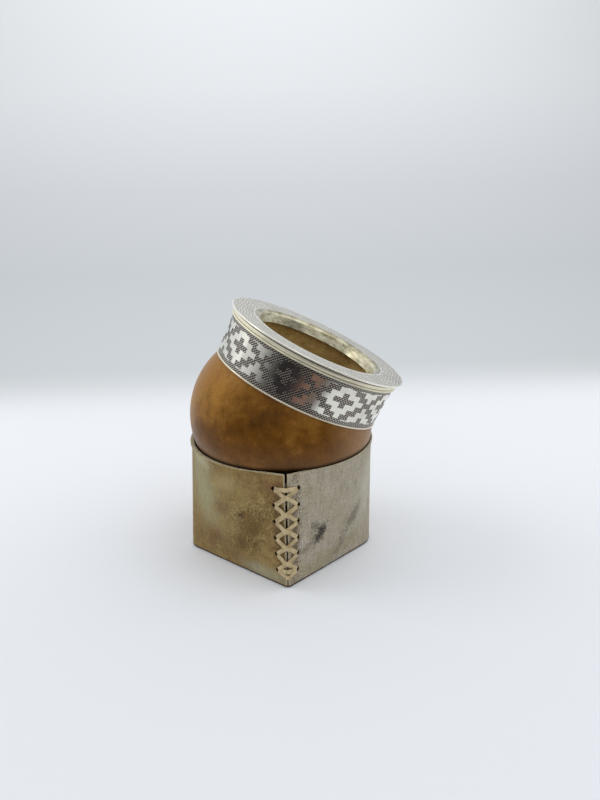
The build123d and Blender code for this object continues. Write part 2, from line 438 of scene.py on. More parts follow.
@dataclass(frozen=True)
class GourdSkin(Finish):
    """The waxed outer skin of a dried gourd: golden brown, mottled, with painted shade low down."""

    lean: Lean
    rim: float
    golden: Colour = srgb(159, 111, 43)
    brown: Colour = srgb(105, 65, 10)
    dark: Colour = srgb(78, 46, 4)
    low_sheen: Colour = srgb(122, 94, 68)
    right_sheen: Colour = srgb(160, 122, 84)
    low_left_sheen: Colour = srgb(150, 122, 94)
    lamp_side_way: Spot = (-0.60, 0.25, 0.76)
    low_left_sheen_way: Spot = (-0.60, -0.28, -0.75)
    shadow_drop: float = 0.4
    shadow_end: float = 2.4

    def surface(self, graph: Graph) -> dict:
        """Mottles the skin in large clouds and fine pores, with painted light, shade and sheen.

        Args:
            graph: The material's node graph.

        Returns:
            Values and signals by the name of the socket.
        """
        place = graph.coordinates() - (0, 0, self.lean.middle)
        clouds = graph.noise(place, 24, 4, 0.55, 0.6)
        patches = graph.noise(place, 7, 3, 0.6, 0.5)
        east, _, height = graph.split(place)
        # Painted light: the side that faces the key lamp, up and to the left, is lighter.
        lamp_side_light = graph.step(place.of("DOT_PRODUCT", self.lamp_side_way), 12, 34)
        # Painted shade and sheen: low down the skin turns darker and takes a greyish sheen.
        low = graph.step(height, 6, -18)
        tone = 0.05 + clouds * 0.48 + patches * 0.46 + lamp_side_light * 0.30 - low * 0.08
        colour = graph.ramp(tone, (0.36, self.dark), (0.52, self.brown), (0.82, self.golden))
        colour = graph.mix(low * 0.5, colour, self.low_sheen)
        # Painted sheen on the right side of the gourd.
        colour = graph.mix(graph.step(east, 16, 40) * 0.75, colour, self.right_sheen)
        # Painted sheen low on the left side of the gourd.
        low_left_sheen_share = graph.step(place.of("DOT_PRODUCT", self.low_left_sheen_way), 27, 36)
        colour = graph.mix(low_left_sheen_share * 0.5, colour, self.low_left_sheen)
        rim = self.rim - self.lean.middle
        shade = graph.step(height, rim - self.shadow_drop, rim + self.shadow_end)
        colour = graph.tint(colour, 0.05 + shade * 0.95)
        pores = graph.step(graph.cells(place, 1.5), 0.30, 0.10)
        speckle = graph.noise(place, 1.0, 3, 0.7)
        colour = graph.tint(colour, 0.65 + speckle * 0.70 - pores * 0.18)
        waves = graph.noise(place, 6, 3, 0.5)
        return {
            "Base Color": colour,
            "Roughness": 0.28 + patches * 0.14,
            "Normal": graph.bump(waves, 0.10, graph.bump(speckle, 0.03)),
            "Specular IOR Level": 0.12,
        }


@dataclass(frozen=True)
class GourdFlesh(Finish):
    """The dry inside of the gourd, straw-coloured and slightly fibrous."""

    lean: Lean
    pale: Colour = srgb(214, 182, 112)
    deep: Colour = srgb(144, 112, 54)

    def surface(self, graph: Graph) -> dict:
        """Clouds the flesh and gives it short fibres round the wall.

        Args:
            graph: The material's node graph.

        Returns:
            Values and signals by the name of the socket.
        """
        place = self.lean.coordinates(graph)
        clouds = graph.noise(place, 14, 4, 0.6)
        fibres = graph.noise(place * (1, 1, 4), 2.4, 3, 0.6)
        colour = graph.ramp(clouds * 0.6 + fibres * 0.4, (0.36, self.deep), (0.64, self.pale))
        return {"Base Color": colour, "Roughness": 0.8, "Normal": graph.bump(fibres, 0.25)}


class SilverWork(Enum):
    """How a piece of the nickel silver collar is worked."""

    POLISHED = "polished"
    MATTED = "matted"
    ENGRAVED = "engraved"
    TURNED = "turned"


GRAIN_DEPTH = {
    SilverWork.POLISHED: 0.004,
    SilverWork.MATTED: 0.02,
    SilverWork.ENGRAVED: 0.02,
    SilverWork.TURNED: 0.008,
}
HOLLOW_SHARE = {SilverWork.MATTED: 0.92, SilverWork.ENGRAVED: 0.45}


@dataclass(frozen=True)
class Silver(Finish):
    """Nickel silver, in the finish that its work leaves."""

    lean: Lean
    work: SilverWork
    metal: Colour
    tarnish_and_shade: Colour = srgb(58, 50, 42)
    old: Colour = srgb(112, 102, 66)
    patina: float = 0.0
    roughness: float = 0.2
    edge_roughness: float = 0.06

    def surface(self, graph: Graph) -> dict:
        """Adds handling marks, tarnish in the hollows of worked metal, and painted shade on the
        moulding.

        Args:
            graph: The material's node graph.

        Returns:
            Values and signals by the name of the socket.
        """
        place = self.lean.coordinates(graph)
        x, y, height = graph.split(place)
        smears = graph.noise(place, 11, 3, 0.6)
        grain = graph.noise(place, 0.5, 2, 0.6)
        colour = graph.mix(graph.step(smears, 0.45, 0.75) * 0.18, self.metal, self.tarnish_and_shade)
        roughness = self.roughness
        if self.work is SilverWork.ENGRAVED:
            worked = graph.painted(WORKED)
            stipple = graph.step(graph.noise(place, 0.8, 3, 0.8), 0.3, 0.7)
            colour = graph.tint(colour, 1.0 - worked * (0.42 - stipple * 0.42))
            roughness = self.edge_roughness + worked * (self.roughness - self.edge_roughness)
        if self.work in HOLLOW_SHARE:
            hollow = graph.step(graph.painted(HOLLOW_AND_SHADE), 0.26, 0.54)
            colour = graph.mix(hollow * HOLLOW_SHARE[self.work], colour, self.tarnish_and_shade)
        if self.work is SilverWork.TURNED:
            radius = (x * x + y * y).of("SQRT")
            grain = graph.noise(graph.join(radius * 9, height * 9, 0.0), 1.0, 2, 0.7)
            round_way = graph.join(y.of("ARCTAN2", x) * 30, height * 3, radius * 2)
            patches = graph.noise(round_way, 6, 3, 0.7)
            colour = graph.mix(graph.step(patches, 0.30, 0.72) * self.patina, colour, self.old)
            # On turned pieces the stored number darkens the metal: tarnish on the throat, painted
            # shade on the moulding.
            colour = graph.mix(graph.painted(HOLLOW_AND_SHADE) * 0.96, colour, self.tarnish_and_shade)
        return {
            "Base Color": colour,
            "Metallic": 1.0,
            "Roughness": roughness + smears * 0.12,
            "Normal": graph.bump(grain, GRAIN_DEPTH[self.work]),
        }


@dataclass(frozen=True)
class Blot:
    """A soft-edged patch of another colour on the strip."""

    along: float
    up: float
    half_length: float
    half_width: float
    turn: float
    colour: Colour
    strength: float

    def lay(self, graph: Graph, colour: Signal, place: Signal, ragged: Signal) -> Signal:
        """Lays the patch over a colour.

        Args:
            graph: The material's node graph.
            colour: The colour so far.
            place: Distance along the strip and height, in millimetres.
            ragged: Noise that breaks up the patch's edge.

        Returns:
            The colour with the patch.
        """
        x, y, _ = graph.split(place - (self.along, self.up, 0))
        turn = math.radians(self.turn)
        cosine, sine = math.cos(turn), math.sin(turn)
        long = (x * cosine + y * sine) / self.half_length
        wide = (y * cosine - x * sine) / self.half_width
        reach = (long * long + wide * wide).of("SQRT") + ragged
        return graph.mix(graph.step(reach, 1.25, 0.25) * self.strength, colour, self.colour)


@dataclass(frozen=True)
class Rawhide(Finish):
    """Dried rawhide: grey-beige at one end of the strip, tan and stained at the other."""

    strip: float
    grey: Colour = srgb(171, 162, 146)
    beige: Colour = srgb(159, 148, 124)
    tan: Colour = srgb(149, 126, 76)
    brown: Colour = srgb(116, 88, 46)
    olive: Colour = srgb(144, 130, 90)

    def blots(self) -> list[Blot]:
        """The patches: dark strokes on the grey end, clouds on the tan one, darker bands by the
        seam.

        Returns:
            The patches, in the order in which they are laid.
        """
        end = self.strip
        soot, ash, pale = srgb(52, 42, 38), srgb(84, 76, 64), srgb(196, 192, 172)
        green, olive, umber = srgb(160, 155, 120), srgb(96, 70, 26), srgb(114, 78, 44)
        return [
            Blot(52, 34, 22, 9, 90, pale, 0.6),
            Blot(30, 6, 26, 6, 8, srgb(148, 140, 108), 0.6),
            # A darker band along the seam, under the lacing.
            Blot(2.5, 28, 27, 3.8, 90, srgb(106, 88, 62), 0.9),
            Blot(18.2, 21.6, 7.0, 2.8, 64, soot, 0.95),
            Blot(14.5, 26.5, 4.5, 2.6, -30, soot, 0.5),
            Blot(11, 17, 6, 2.4, 30, ash, 0.5),
            Blot(41, 21, 11, 4.0, 50, ash, 0.52),
            Blot(34, 9, 8, 2.8, 55, ash, 0.42),
            # A darker band along the seam, under the lacing, at the other end.
            Blot(end - 2.5, 28, 27, 3.8, 90, srgb(92, 70, 38), 0.88),
            Blot(end - 47, 40, 26, 12, 100, green, 0.8),
            Blot(end - 44, 12, 8, 5, 70, umber, 0.75),
            Blot(end - 18, 27, 17, 8, 48, olive, 0.75),
            Blot(end - 23, 15, 9, 4, 20, olive, 0.7),
            Blot(end - 23, 31.2, 2.6, 1.5, 0, srgb(74, 50, 28), 0.9),
            Blot(end - 34, 32, 9, 4, 20, umber, 0.55),
            Blot(end - 7, 50, 8, 3, 0, umber, 0.6),
            Blot(end - 29, 47, 9, 5, 20, srgb(170, 148, 100), 0.7),
            Blot(end - 45, 53, 10, 5, 0, srgb(184, 178, 146), 0.65),
            Blot(end - 13, 3.5, 16, 4.5, 0, srgb(160, 154, 128), 0.8),
        ]

    def surface(self, graph: Graph) -> dict:
        """Follows the strip: u is the way along it and v the height, both in millimetres.

        Args:
            graph: The material's node graph.

        Returns:
            Values and signals by the name of the socket.
        """
        strip_map = graph.add("ShaderNodeUVMap", {"uv_map": STRIP_MAP})[0]
        along, up, _ = graph.split(strip_map * (1 / MM))
        place = graph.join(along, up, 0.0)
        clouds = graph.noise(place, 22, 4, 0.6, 0.5)
        blots = graph.noise(place, 6, 4, 0.65, 0.8)
        fibre = graph.noise(place * (1, 0.14, 1), 1.3, 3, 0.7)
        fine = graph.noise(place, 1.0, 3, 0.75)
        tanned = graph.step(along + clouds * 30, self.strip * 0.42, self.strip * 0.72)
        plain = graph.ramp(blots * 0.6 + clouds * 0.4, (0.36, self.beige), (0.62, self.grey))
        stops = ((0.34, self.brown), (0.56, self.tan), (0.74, self.olive))
        rich = graph.ramp(blots * 0.5 + clouds * 0.5, *stops)
        colour = graph.mix(tanned, plain, rich)
        ragged = (blots - 0.5) * 1.8 + (fine - 0.5) * 3.2
        for blot in self.blots():
            colour = blot.lay(graph, colour, place, ragged)
        pits = graph.step(graph.cells(place, 1.4), 0.34, 0.12)
        colour = graph.tint(colour, 0.16 + fibre * 0.72 + fine * 0.96 - pits * 0.26)
        return {
            "Base Color": colour,
            "Roughness": 0.62 + blots * 0.12,
            "Normal": graph.bump(fibre, 0.14, graph.bump(fine, 0.10)),
            "Specular IOR Level": 0.3,
        }


@dataclass(frozen=True)
class CutHideAndShade(Finish):
    """The pale edge where rawhide is cut; in dark colours, the painted shade of holes and foot."""

    pale: Colour = srgb(190, 178, 148)
    deep: Colour = srgb(140, 122, 90)

    def surface(self, graph: Graph) -> dict:
        """Layers the cut edge in fine fibres.

        Args:
            graph: The material's node graph.

        Returns:
            Values and signals by the name of the socket.
        """
        place = graph.coordinates()
        fibres = graph.noise(place * (1, 1, 3), 0.8, 3, 0.6)
        colour = graph.ramp(fibres, (0.34, self.deep), (0.62, self.pale))
        return {"Base Color": colour, "Roughness": 0.75, "Normal": graph.bump(fibres, 0.06)}


@dataclass(frozen=True)
class LaceHide(Finish):
    """The thin pale strip of the lacing."""

    pale: Colour = srgb(202, 182, 140)
    deep: Colour = srgb(154, 132, 92)

    def surface(self, graph: Graph) -> dict:
        """Gives the strip soft blotches and a fine grain.

        Args:
            graph: The material's node graph.

        Returns:
            Values and signals by the name of the socket.
        """
        place = graph.coordinates()
        blots = graph.noise(place, 3, 3, 0.6)
        fine = graph.noise(place, 0.4, 2, 0.6)
        colour = graph.ramp(blots * 0.6 + fine * 0.4, (0.38, self.deep), (0.60, self.pale))
        return {"Base Color": colour, "Roughness": 0.6, "Normal": graph.bump(fine, 0.06)}


# ---------------------------------------------------------------- meshes


def link(name: str, data: bpy.types.ID) -> bpy.types.Object:
    """Puts a mesh, lamp or camera in the scene.

    Args:
        name: The object's name.
        data: What it shows.

    Returns:
        The object.
    """
    made = bpy.data.objects.new(name, data)
    bpy.context.scene.collection.objects.link(made)
    return made


def new_object(
    name: str, vertices: np.ndarray, faces: list, edges: Sequence = ()
) -> bpy.types.Object:
    """Makes a mesh object from points in millimetres.

    Args:
        name: The piece's name.
        vertices: Its points.
        faces: Its faces, as point numbers.
        edges: Edges that no face has.

    Returns:
        The object, linked to the scene.
    """
    mesh = bpy.data.meshes.new(name)
    mesh.from_pydata((np.asarray(vertices, float) * MM).tolist(), list(edges), faces)
    mesh.update()
    return link(name, mesh)


def face_outwards(piece: bpy.types.Object) -> None:
    """Points the faces of a closed mesh outwards.

    Args:
        piece: The closed piece.
    """
    work = bmesh.new()
    work.from_mesh(piece.data)
    bmesh.ops.recalc_face_normals(work, faces=work.faces)
    work.to_mesh(piece.data)
    work.free()


def smooth_faces(piece: bpy.types.Object, crease: float = 35.0) -> None:
    """Shades a mesh smooth, with edges sharper than the crease angle kept."""
    piece.data.polygons.foreach_set("use_smooth", [True] * len(piece.data.polygons))
    piece.data.set_sharp_from_angle(angle=math.radians(crease))


def add_number(piece: bpy.types.Object, name: str, values: np.ndarray) -> None:
    """Gives each point of a mesh a number."""
    made = piece.data.attributes.new(name, "FLOAT", "POINT")
    made.data.foreach_set("value", np.asarray(values, np.float32))


def grid_faces(
    rows: int, columns: int, close_rows: bool = False, close_columns: bool = False
) -> list:
    """Quads between points laid out row by row.

    Args:
        rows: Number of rows of points.
        columns: Points in a row.
        close_rows: Joins the last row to the first.
        close_columns: Joins the end of each row to its start.

    Returns:
        The faces, as point numbers.
    """
    numbers = np.arange(rows * columns).reshape(rows, columns)
    if close_rows:
        numbers = np.vstack([numbers, numbers[:1]])
    if close_columns:
        numbers = np.hstack([numbers, numbers[:, :1]])
    corners = (numbers[:-1, :-1], numbers[:-1, 1:], numbers[1:, 1:], numbers[1:, :-1])
    return np.stack([corner.ravel() for corner in corners], 1).tolist()


def arc(centre: Point, radii: Point, start: float, end: float, count: int) -> list[Point]:
    """Points of an elliptical arc between two angles in degrees."""
    turns = np.radians(np.linspace(start, end, count))
    return list(zip(centre[0] + radii[0] * np.cos(turns), centre[1] + radii[1] * np.sin(turns)))


def line(start: Point, end: Point, count: int) -> list[Point]:
    """Evenly spaced points of a straight line."""
    return [tuple(point) for point in np.linspace(start, end, count)]


def turned(
    name: str, section: Sequence[Point], segments: int, worked: Sequence[float] = ()
) -> bpy.types.Object:
    """Turns a section round the Z axis.

    Args:
        name: The piece's name.
        section: (radius, height) points, closed, or with both ends on the axis.
        segments: Number of steps round.
        worked: For each point of the section, how much of the metalwork it takes.

    Returns:
        The closed mesh object.
    """
    on_axis = section[0][0] < 1e-6
    body = np.array(section[1:-1] if on_axis else section, float)
    turns = np.linspace(0, 2 * math.pi, segments, endpoint=False)
    ring = np.stack([np.cos(turns), np.sin(turns)], 1)
    points = np.concatenate(
        [body[:, None, :1] * ring[None], np.repeat(body[:, None, 1:], segments, 1)], 2
    ).reshape(-1, 3)
    faces = grid_faces(len(body), segments, close_rows=not on_axis, close_columns=True)
    if on_axis:
        last = len(points)
        points = np.vstack([points, [(0, 0, section[0][1]), (0, 0, section[-1][1])]])
        for pole, first in ((last, 0), (last + 1, (len(body) - 1) * segments)):
            faces += [(pole, first + i, first + (i + 1) % segments) for i in range(segments)]
    made = new_object(name, points, faces)
    face_outwards(made)
    if len(worked):
        add_number(made, WORKED, np.repeat(np.asarray(worked, float), segments))
    return made


def run_tree(piece: bpy.types.Object, tree: bpy.types.NodeTree, values: dict) -> None:
    """Runs a geometry tree on a piece and keeps the result as its plain mesh.

    Args:
        piece: The object that the tree starts from.
        tree: The geometry node tree.
        values: The tree's inputs by name.
    """
    modifier = piece.modifiers.new(tree.name, "NODES")
    modifier.node_group = tree
    inputs = [item for item in tree.interface.items_tree if item.in_out == "INPUT"]
    sockets = {item.name: item.identifier for item in inputs}
    for name, value in values.items():
        modifier[sockets[name]] = value
    keep_result(piece)


def keep_result(piece: bpy.types.Object) -> None:
    """Makes what a piece's modifiers show its plain mesh, and removes them.

    Args:
        piece: The piece.
    """
    shown = piece.evaluated_get(bpy.context.evaluated_depsgraph_get())
    mesh = bpy.data.meshes.new_from_object(shown)
    piece.modifiers.clear()
    old = piece.data
    mesh.name = piece.name
    piece.data = mesh
    bpy.data.meshes.remove(old)


def dress(piece: bpy.types.Object, *finishes: Finish) -> None:
    """Gives a piece its finishes.

    Args:
        piece: The piece.
        finishes: A finish for each material number of its faces.
    """
    piece.data.materials.clear()
    for finish in finishes:
        piece.data.materials.append(finish.material())


def settle(piece: bpy.types.Object, slot: str, *nodes: str) -> None:
    """Puts a finished piece on the object.

    Args:
        piece: The piece.
        slot: Not used.
        nodes: The parts of the frame that it stands for.
    """
    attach(piece, BODY)
    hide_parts(*nodes)
    piece.data.calc_loop_triangles()
    count = len(piece.data.loop_triangles)
    log.info("%s: %d triangles, for %s", piece.name, count, ", ".join(nodes))


# ---------------------------------------------------------------- geometry node trees


def start_tree(name: str) -> tuple[Graph, Signal, Signal]:
    """Starts a geometry tree with its geometry and finish inputs."""
    graph = Graph(bpy.data.node_groups.new(name, "GeometryNodeTree"))
    return graph, graph.take("Geometry", "Geometry"), graph.take("Finish", "Material")


class Metalwork:
    """Geometry node trees that work the metal of the collar, in the cup's own frame."""

    @staticmethod
    def _sink(graph: Graph, geometry: Signal, hollow: Signal, depth: Signal) -> Signal:
        """Sinks the worked part of a surface by a share of the depth, and keeps that share.

        Args:
            graph: The tree.
            geometry: The surface.
            hollow: The share of the depth at each point, from 0 to 1.
            depth: The full depth.

        Returns:
            The sunk surface.
        """
        share = hollow * graph.stored(WORKED)
        settings = {"data_type": "FLOAT", "domain": "POINT"}
        inputs = {"Geometry": geometry, "Name": HOLLOW_AND_SHADE, "Value": share}
        kept = graph.add("GeometryNodeStoreNamedAttribute", settings, inputs)[0]
        normal = graph.add("GeometryNodeInputNormal")[0]
        offset = normal * (graph.stored(HOLLOW_AND_SHADE) * depth * -1.0)
        return graph.add("GeometryNodeSetPosition", None, {"Geometry": kept, "Offset": offset})[0]

    @classmethod
    def matting(cls) -> bpy.types.NodeTree:
        """Rows of small punched hollows round a band.

        Returns:
            The tree.
        """
        graph, geometry, finish = start_tree("matting")
        names = ("Columns", "Row height", "Foot", "Depth")
        columns, row_height, foot, depth = graph.take_numbers(*names)
        x, y, z = graph.split(graph.add("GeometryNodeInputPosition")[0])
        turn = y.of("ARCTAN2", x) / (2 * math.pi)
        across, up = turn * columns, (z - foot) / row_height
        hollow = cls._peak(across) * cls._peak(up)
        hollow = hollow + cls._peak(across + 0.5) * cls._peak(up + 0.5)
        graph.give(cls._sink(graph, geometry, hollow, depth), finish)
        return graph.tree

    @staticmethod
    def _peak(value: Signal) -> Signal:
        """0 at whole numbers, rising to 1 half way between them."""
        return 1 - abs(value.of("FRACT") * 2 - 1)

    @classmethod
    def engraving(cls) -> bpy.types.NodeTree:
        """Fine wavering rings cut in a flat ring, broken up by short strokes.

        Returns:
            The tree.
        """
        graph, geometry, finish = start_tree("engraving")
        pitch, lobes, waver, depth = graph.take_numbers("Pitch", "Lobes", "Waver", "Depth")
        x, y, _ = graph.split(graph.add("GeometryNodeInputPosition")[0])
        radius = (x * x + y * y).of("SQRT")
        turn = y.of("ARCTAN2", x)
        rings = (radius / pitch + (turn * lobes).of("SINE") * waver) * (2 * math.pi)
        strokes = (turn * (lobes * 9)).of("SINE")
        hollow = 0.5 + rings.of("SINE") * 0.38 + strokes * 0.12
        graph.give(cls._sink(graph, geometry, hollow, depth), finish)
        return graph.tree

    @classmethod
    def lattice(cls) -> bpy.types.NodeTree:
        """Copies a flat motif over a half-drop lattice, trims it and bends it round a band.

        Returns:
            The tree.
        """
        graph, _, finish = start_tree("lattice")
        motif, count = graph.take("Motif", "Object"), graph.take("Count", "Int")
        arc_length, drop, low, high = graph.take_numbers("Arc", "Drop", "Low", "High")
        relief, first, height = graph.take_numbers("Relief", "First turn", "Height")
        radius, slope = graph.take_numbers("Radius", "Slope")

        columns = count * 2
        step = arc_length / columns
        sizes = {"Size X": step * (columns - 1), "Size Y": drop * 2}
        sizes |= {"Vertices X": columns, "Vertices Y": 3}
        grid = graph.add("GeometryNodeMeshGrid", None, sizes)[0]
        x, y, _ = graph.split(graph.add("GeometryNodeInputPosition")[0])
        column = (x / step + (columns - 1) * 0.5).of("ROUND")
        parity = (column + (y / drop).of("ROUND") + 1).of("FLOORED_MODULO", 2)
        odd = parity.of("GREATER_THAN", 0.5)
        spots = cls._without(graph, grid, odd, "POINT")
        shape = graph.add("GeometryNodeObjectInfo", None, {"Object": motif})["Geometry"]
        inputs = {"Points": spots, "Instance": shape}
        copies = graph.add("GeometryNodeInstanceOnPoints", None, inputs)[0]
        flat = graph.add("GeometryNodeRealizeInstances", None, {"Geometry": copies})[0]
        over = (y.of("GREATER_THAN", high) + y.of("LESS_THAN", low)).of("GREATER_THAN", 0.5)
        trimmed = cls._without(graph, flat, over, "FACE")
        inputs = {"Mesh": trimmed, "Offset": graph.join(0.0, 0.0, 1.0), "Offset Scale": relief}
        raised = graph.add("GeometryNodeExtrudeMesh", None, inputs | {"Individual": False})[0]
        back = graph.add("GeometryNodeFlipFaces", None, {"Mesh": trimmed})[0]
        both = graph.add("GeometryNodeJoinGeometry", None, {"Geometry": [raised, back]})[0]
        inputs = {"Geometry": both, "Distance": WELD * MM}
        plates = graph.add("GeometryNodeMergeByDistance", None, inputs)[0]

        x, y, z = graph.split(graph.add("GeometryNodeInputPosition")[0])
        turn = first + (x - step * 0.5) / arc_length * (2 * math.pi)
        reach = radius + slope * y + z
        place = graph.join(turn.of("COSINE") * reach, turn.of("SINE") * reach, height + y)
        inputs = {"Geometry": plates, "Position": place}
        bent = graph.add("GeometryNodeSetPosition", None, inputs)[0]
        graph.give(bent, finish)
        return graph.tree

    @staticmethod
    def _without(graph: Graph, geometry: Signal, chosen: Signal, domain: str) -> Signal:
        """Geometry without its chosen points or faces."""
        inputs = {"Geometry": geometry, "Selection": chosen}
        return graph.add("GeometryNodeDeleteGeometry", {"domain": domain}, inputs)[0]


def lacing_tree() -> bpy.types.NodeTree:
    """A flat strap along each path, with its face along the path's own normals.

    Returns:
        The tree.
    """
    graph, geometry, finish = start_tree("straps")
    width, thickness, rounding = graph.take_numbers("Width", "Thickness", "Rounding")
    curves = graph.add("GeometryNodeMeshToCurve", None, {"Mesh": geometry})[0]
    inputs = {"Curve": curves, "Normal": graph.stored(STRAP_FACE, "FLOAT_VECTOR")}
    aimed = graph.add("GeometryNodeSetCurveNormal", {"mode": "FREE"}, inputs)[0]
    kind, inputs = "GeometryNodeCurvePrimitiveQuadrilateral", {"Width": thickness, "Height": width}
    section = graph.add(kind, {"mode": "RECTANGLE"}, inputs)[0]
    inputs = {"Curve": section, "Count": 3, "Radius": rounding}
    rounded = graph.add("GeometryNodeFilletCurve", {"mode": "POLY"}, inputs)[0]
    inputs = {"Curve": aimed, "Profile Curve": rounded, "Scale": graph.stored(STRAP_SCALE)}
    solid = graph.add("GeometryNodeCurveToMesh", None, inputs | {"Fill Caps": True})[0]
    graph.give(solid, finish)
    return graph.tree


# ---------------------------------------------------------------- the cup


@dataclass
class Gourd:
    """The hollow gourd, round below and cut off level at its neck."""

    lean: Lean
    rim: float
    radius: float = 43.2
    half_height: float = 40.2
    wall: float = 5.0
    collar_foot: float = 16.4
    neck_slope: float = 0.2
    neck_top: float = 38.4
    neck_inner: float = 30.3
    unevenness: float = 0.35
    lumps: tuple[Point, ...] = ((21.0, 0.3), (9.0, 0.12))
    fade_length: float = 8.0
    outer_rows: int = 120
    inner_rows: int = 60
    neck_rows: int = 12
    segments: int = 288

    def side(self, shrink: float, neck: float, rows: int) -> list[Point]:
        """One side of the wall, from the lower pole to the top of the neck.

        Args:
            shrink: How far the side lies inside the gourd's outer skin.
            neck: Its radius at the top of the neck.
            rows: Points on the round part.

        Returns:
            (radius, height) points.
        """
        wide, tall = self.radius - shrink, self.half_height - shrink
        join = math.degrees(math.asin(self.collar_foot / tall))
        belly = arc((0, 0), (wide, tall), -90, join, rows)
        start = np.array(belly[-1])
        end = np.array((neck, self.neck_top))
        reach = np.linalg.norm(end - start) / 3
        rise = np.array((-wide * math.sin(math.radians(join)), tall * math.cos(math.radians(join))))
        lead = start + rise / np.linalg.norm(rise) * reach
        top = np.array((-self.neck_slope, 1.0))
        trail = end - top / np.linalg.norm(top) * reach
        neck_points = []
        for share in np.linspace(0, 1, self.neck_rows + 1)[1:]:
            rest = 1 - share
            point = rest**3 * start + 3 * rest**2 * share * lead
            point = point + 3 * rest * share**2 * trail + share**3 * end
            neck_points.append(tuple(point))
        return belly + neck_points

    def build(self) -> None:
        """Makes the gourd, slightly uneven, with its flesh inside."""
        outer = self.side(0, self.neck_inner + self.wall, self.outer_rows)
        inner = self.side(self.wall, self.neck_inner, self.inner_rows)[::-1]
        piece = turned("gourd_skin", outer + inner, self.segments)
        mesh = piece.data
        places, normals = np.zeros((2, len(mesh.vertices), 3))
        mesh.vertices.foreach_get("co", places.ravel())
        mesh.vertices.foreach_get("normal", normals.ravel())
        places /= MM
        lumps = [
            sum(noise.noise(Vector(spot) / size) * share for size, share in self.lumps)
            for spot in places
        ]
        fade = np.clip((self.collar_foot - 1 - places[:, 2]) / self.fade_length, 0, 1)
        skin = np.arange(len(places)) < (len(outer) - 1) * self.segments
        sunk = self.unevenness * fade * skin * (0.5 + np.array(lumps))
        places = (places - normals * sunk[:, None]) * MM
        mesh.vertices.foreach_set("co", places.ravel())
        mesh.update()
        smooth_faces(piece, 40)
        mesh.transform(self.lean.matrix)
        skin_finish = GourdSkin("gourd_skin", self.lean, self.rim)
        dress(piece, skin_finish, GourdFlesh("gourd_flesh", self.lean))
        skin_end = (len(outer) - 2) * self.segments
        rings_end = (len(outer) + len(inner) - 3) * self.segments
        pole_end = rings_end + self.segments
        flesh = [skin_end <= i < rings_end or i >= pole_end for i in range(len(mesh.polygons))]
        mesh.polygons.foreach_set("material_index", np.array(flesh, np.int32))
        settle(piece, "gourd", "gourd_shell")


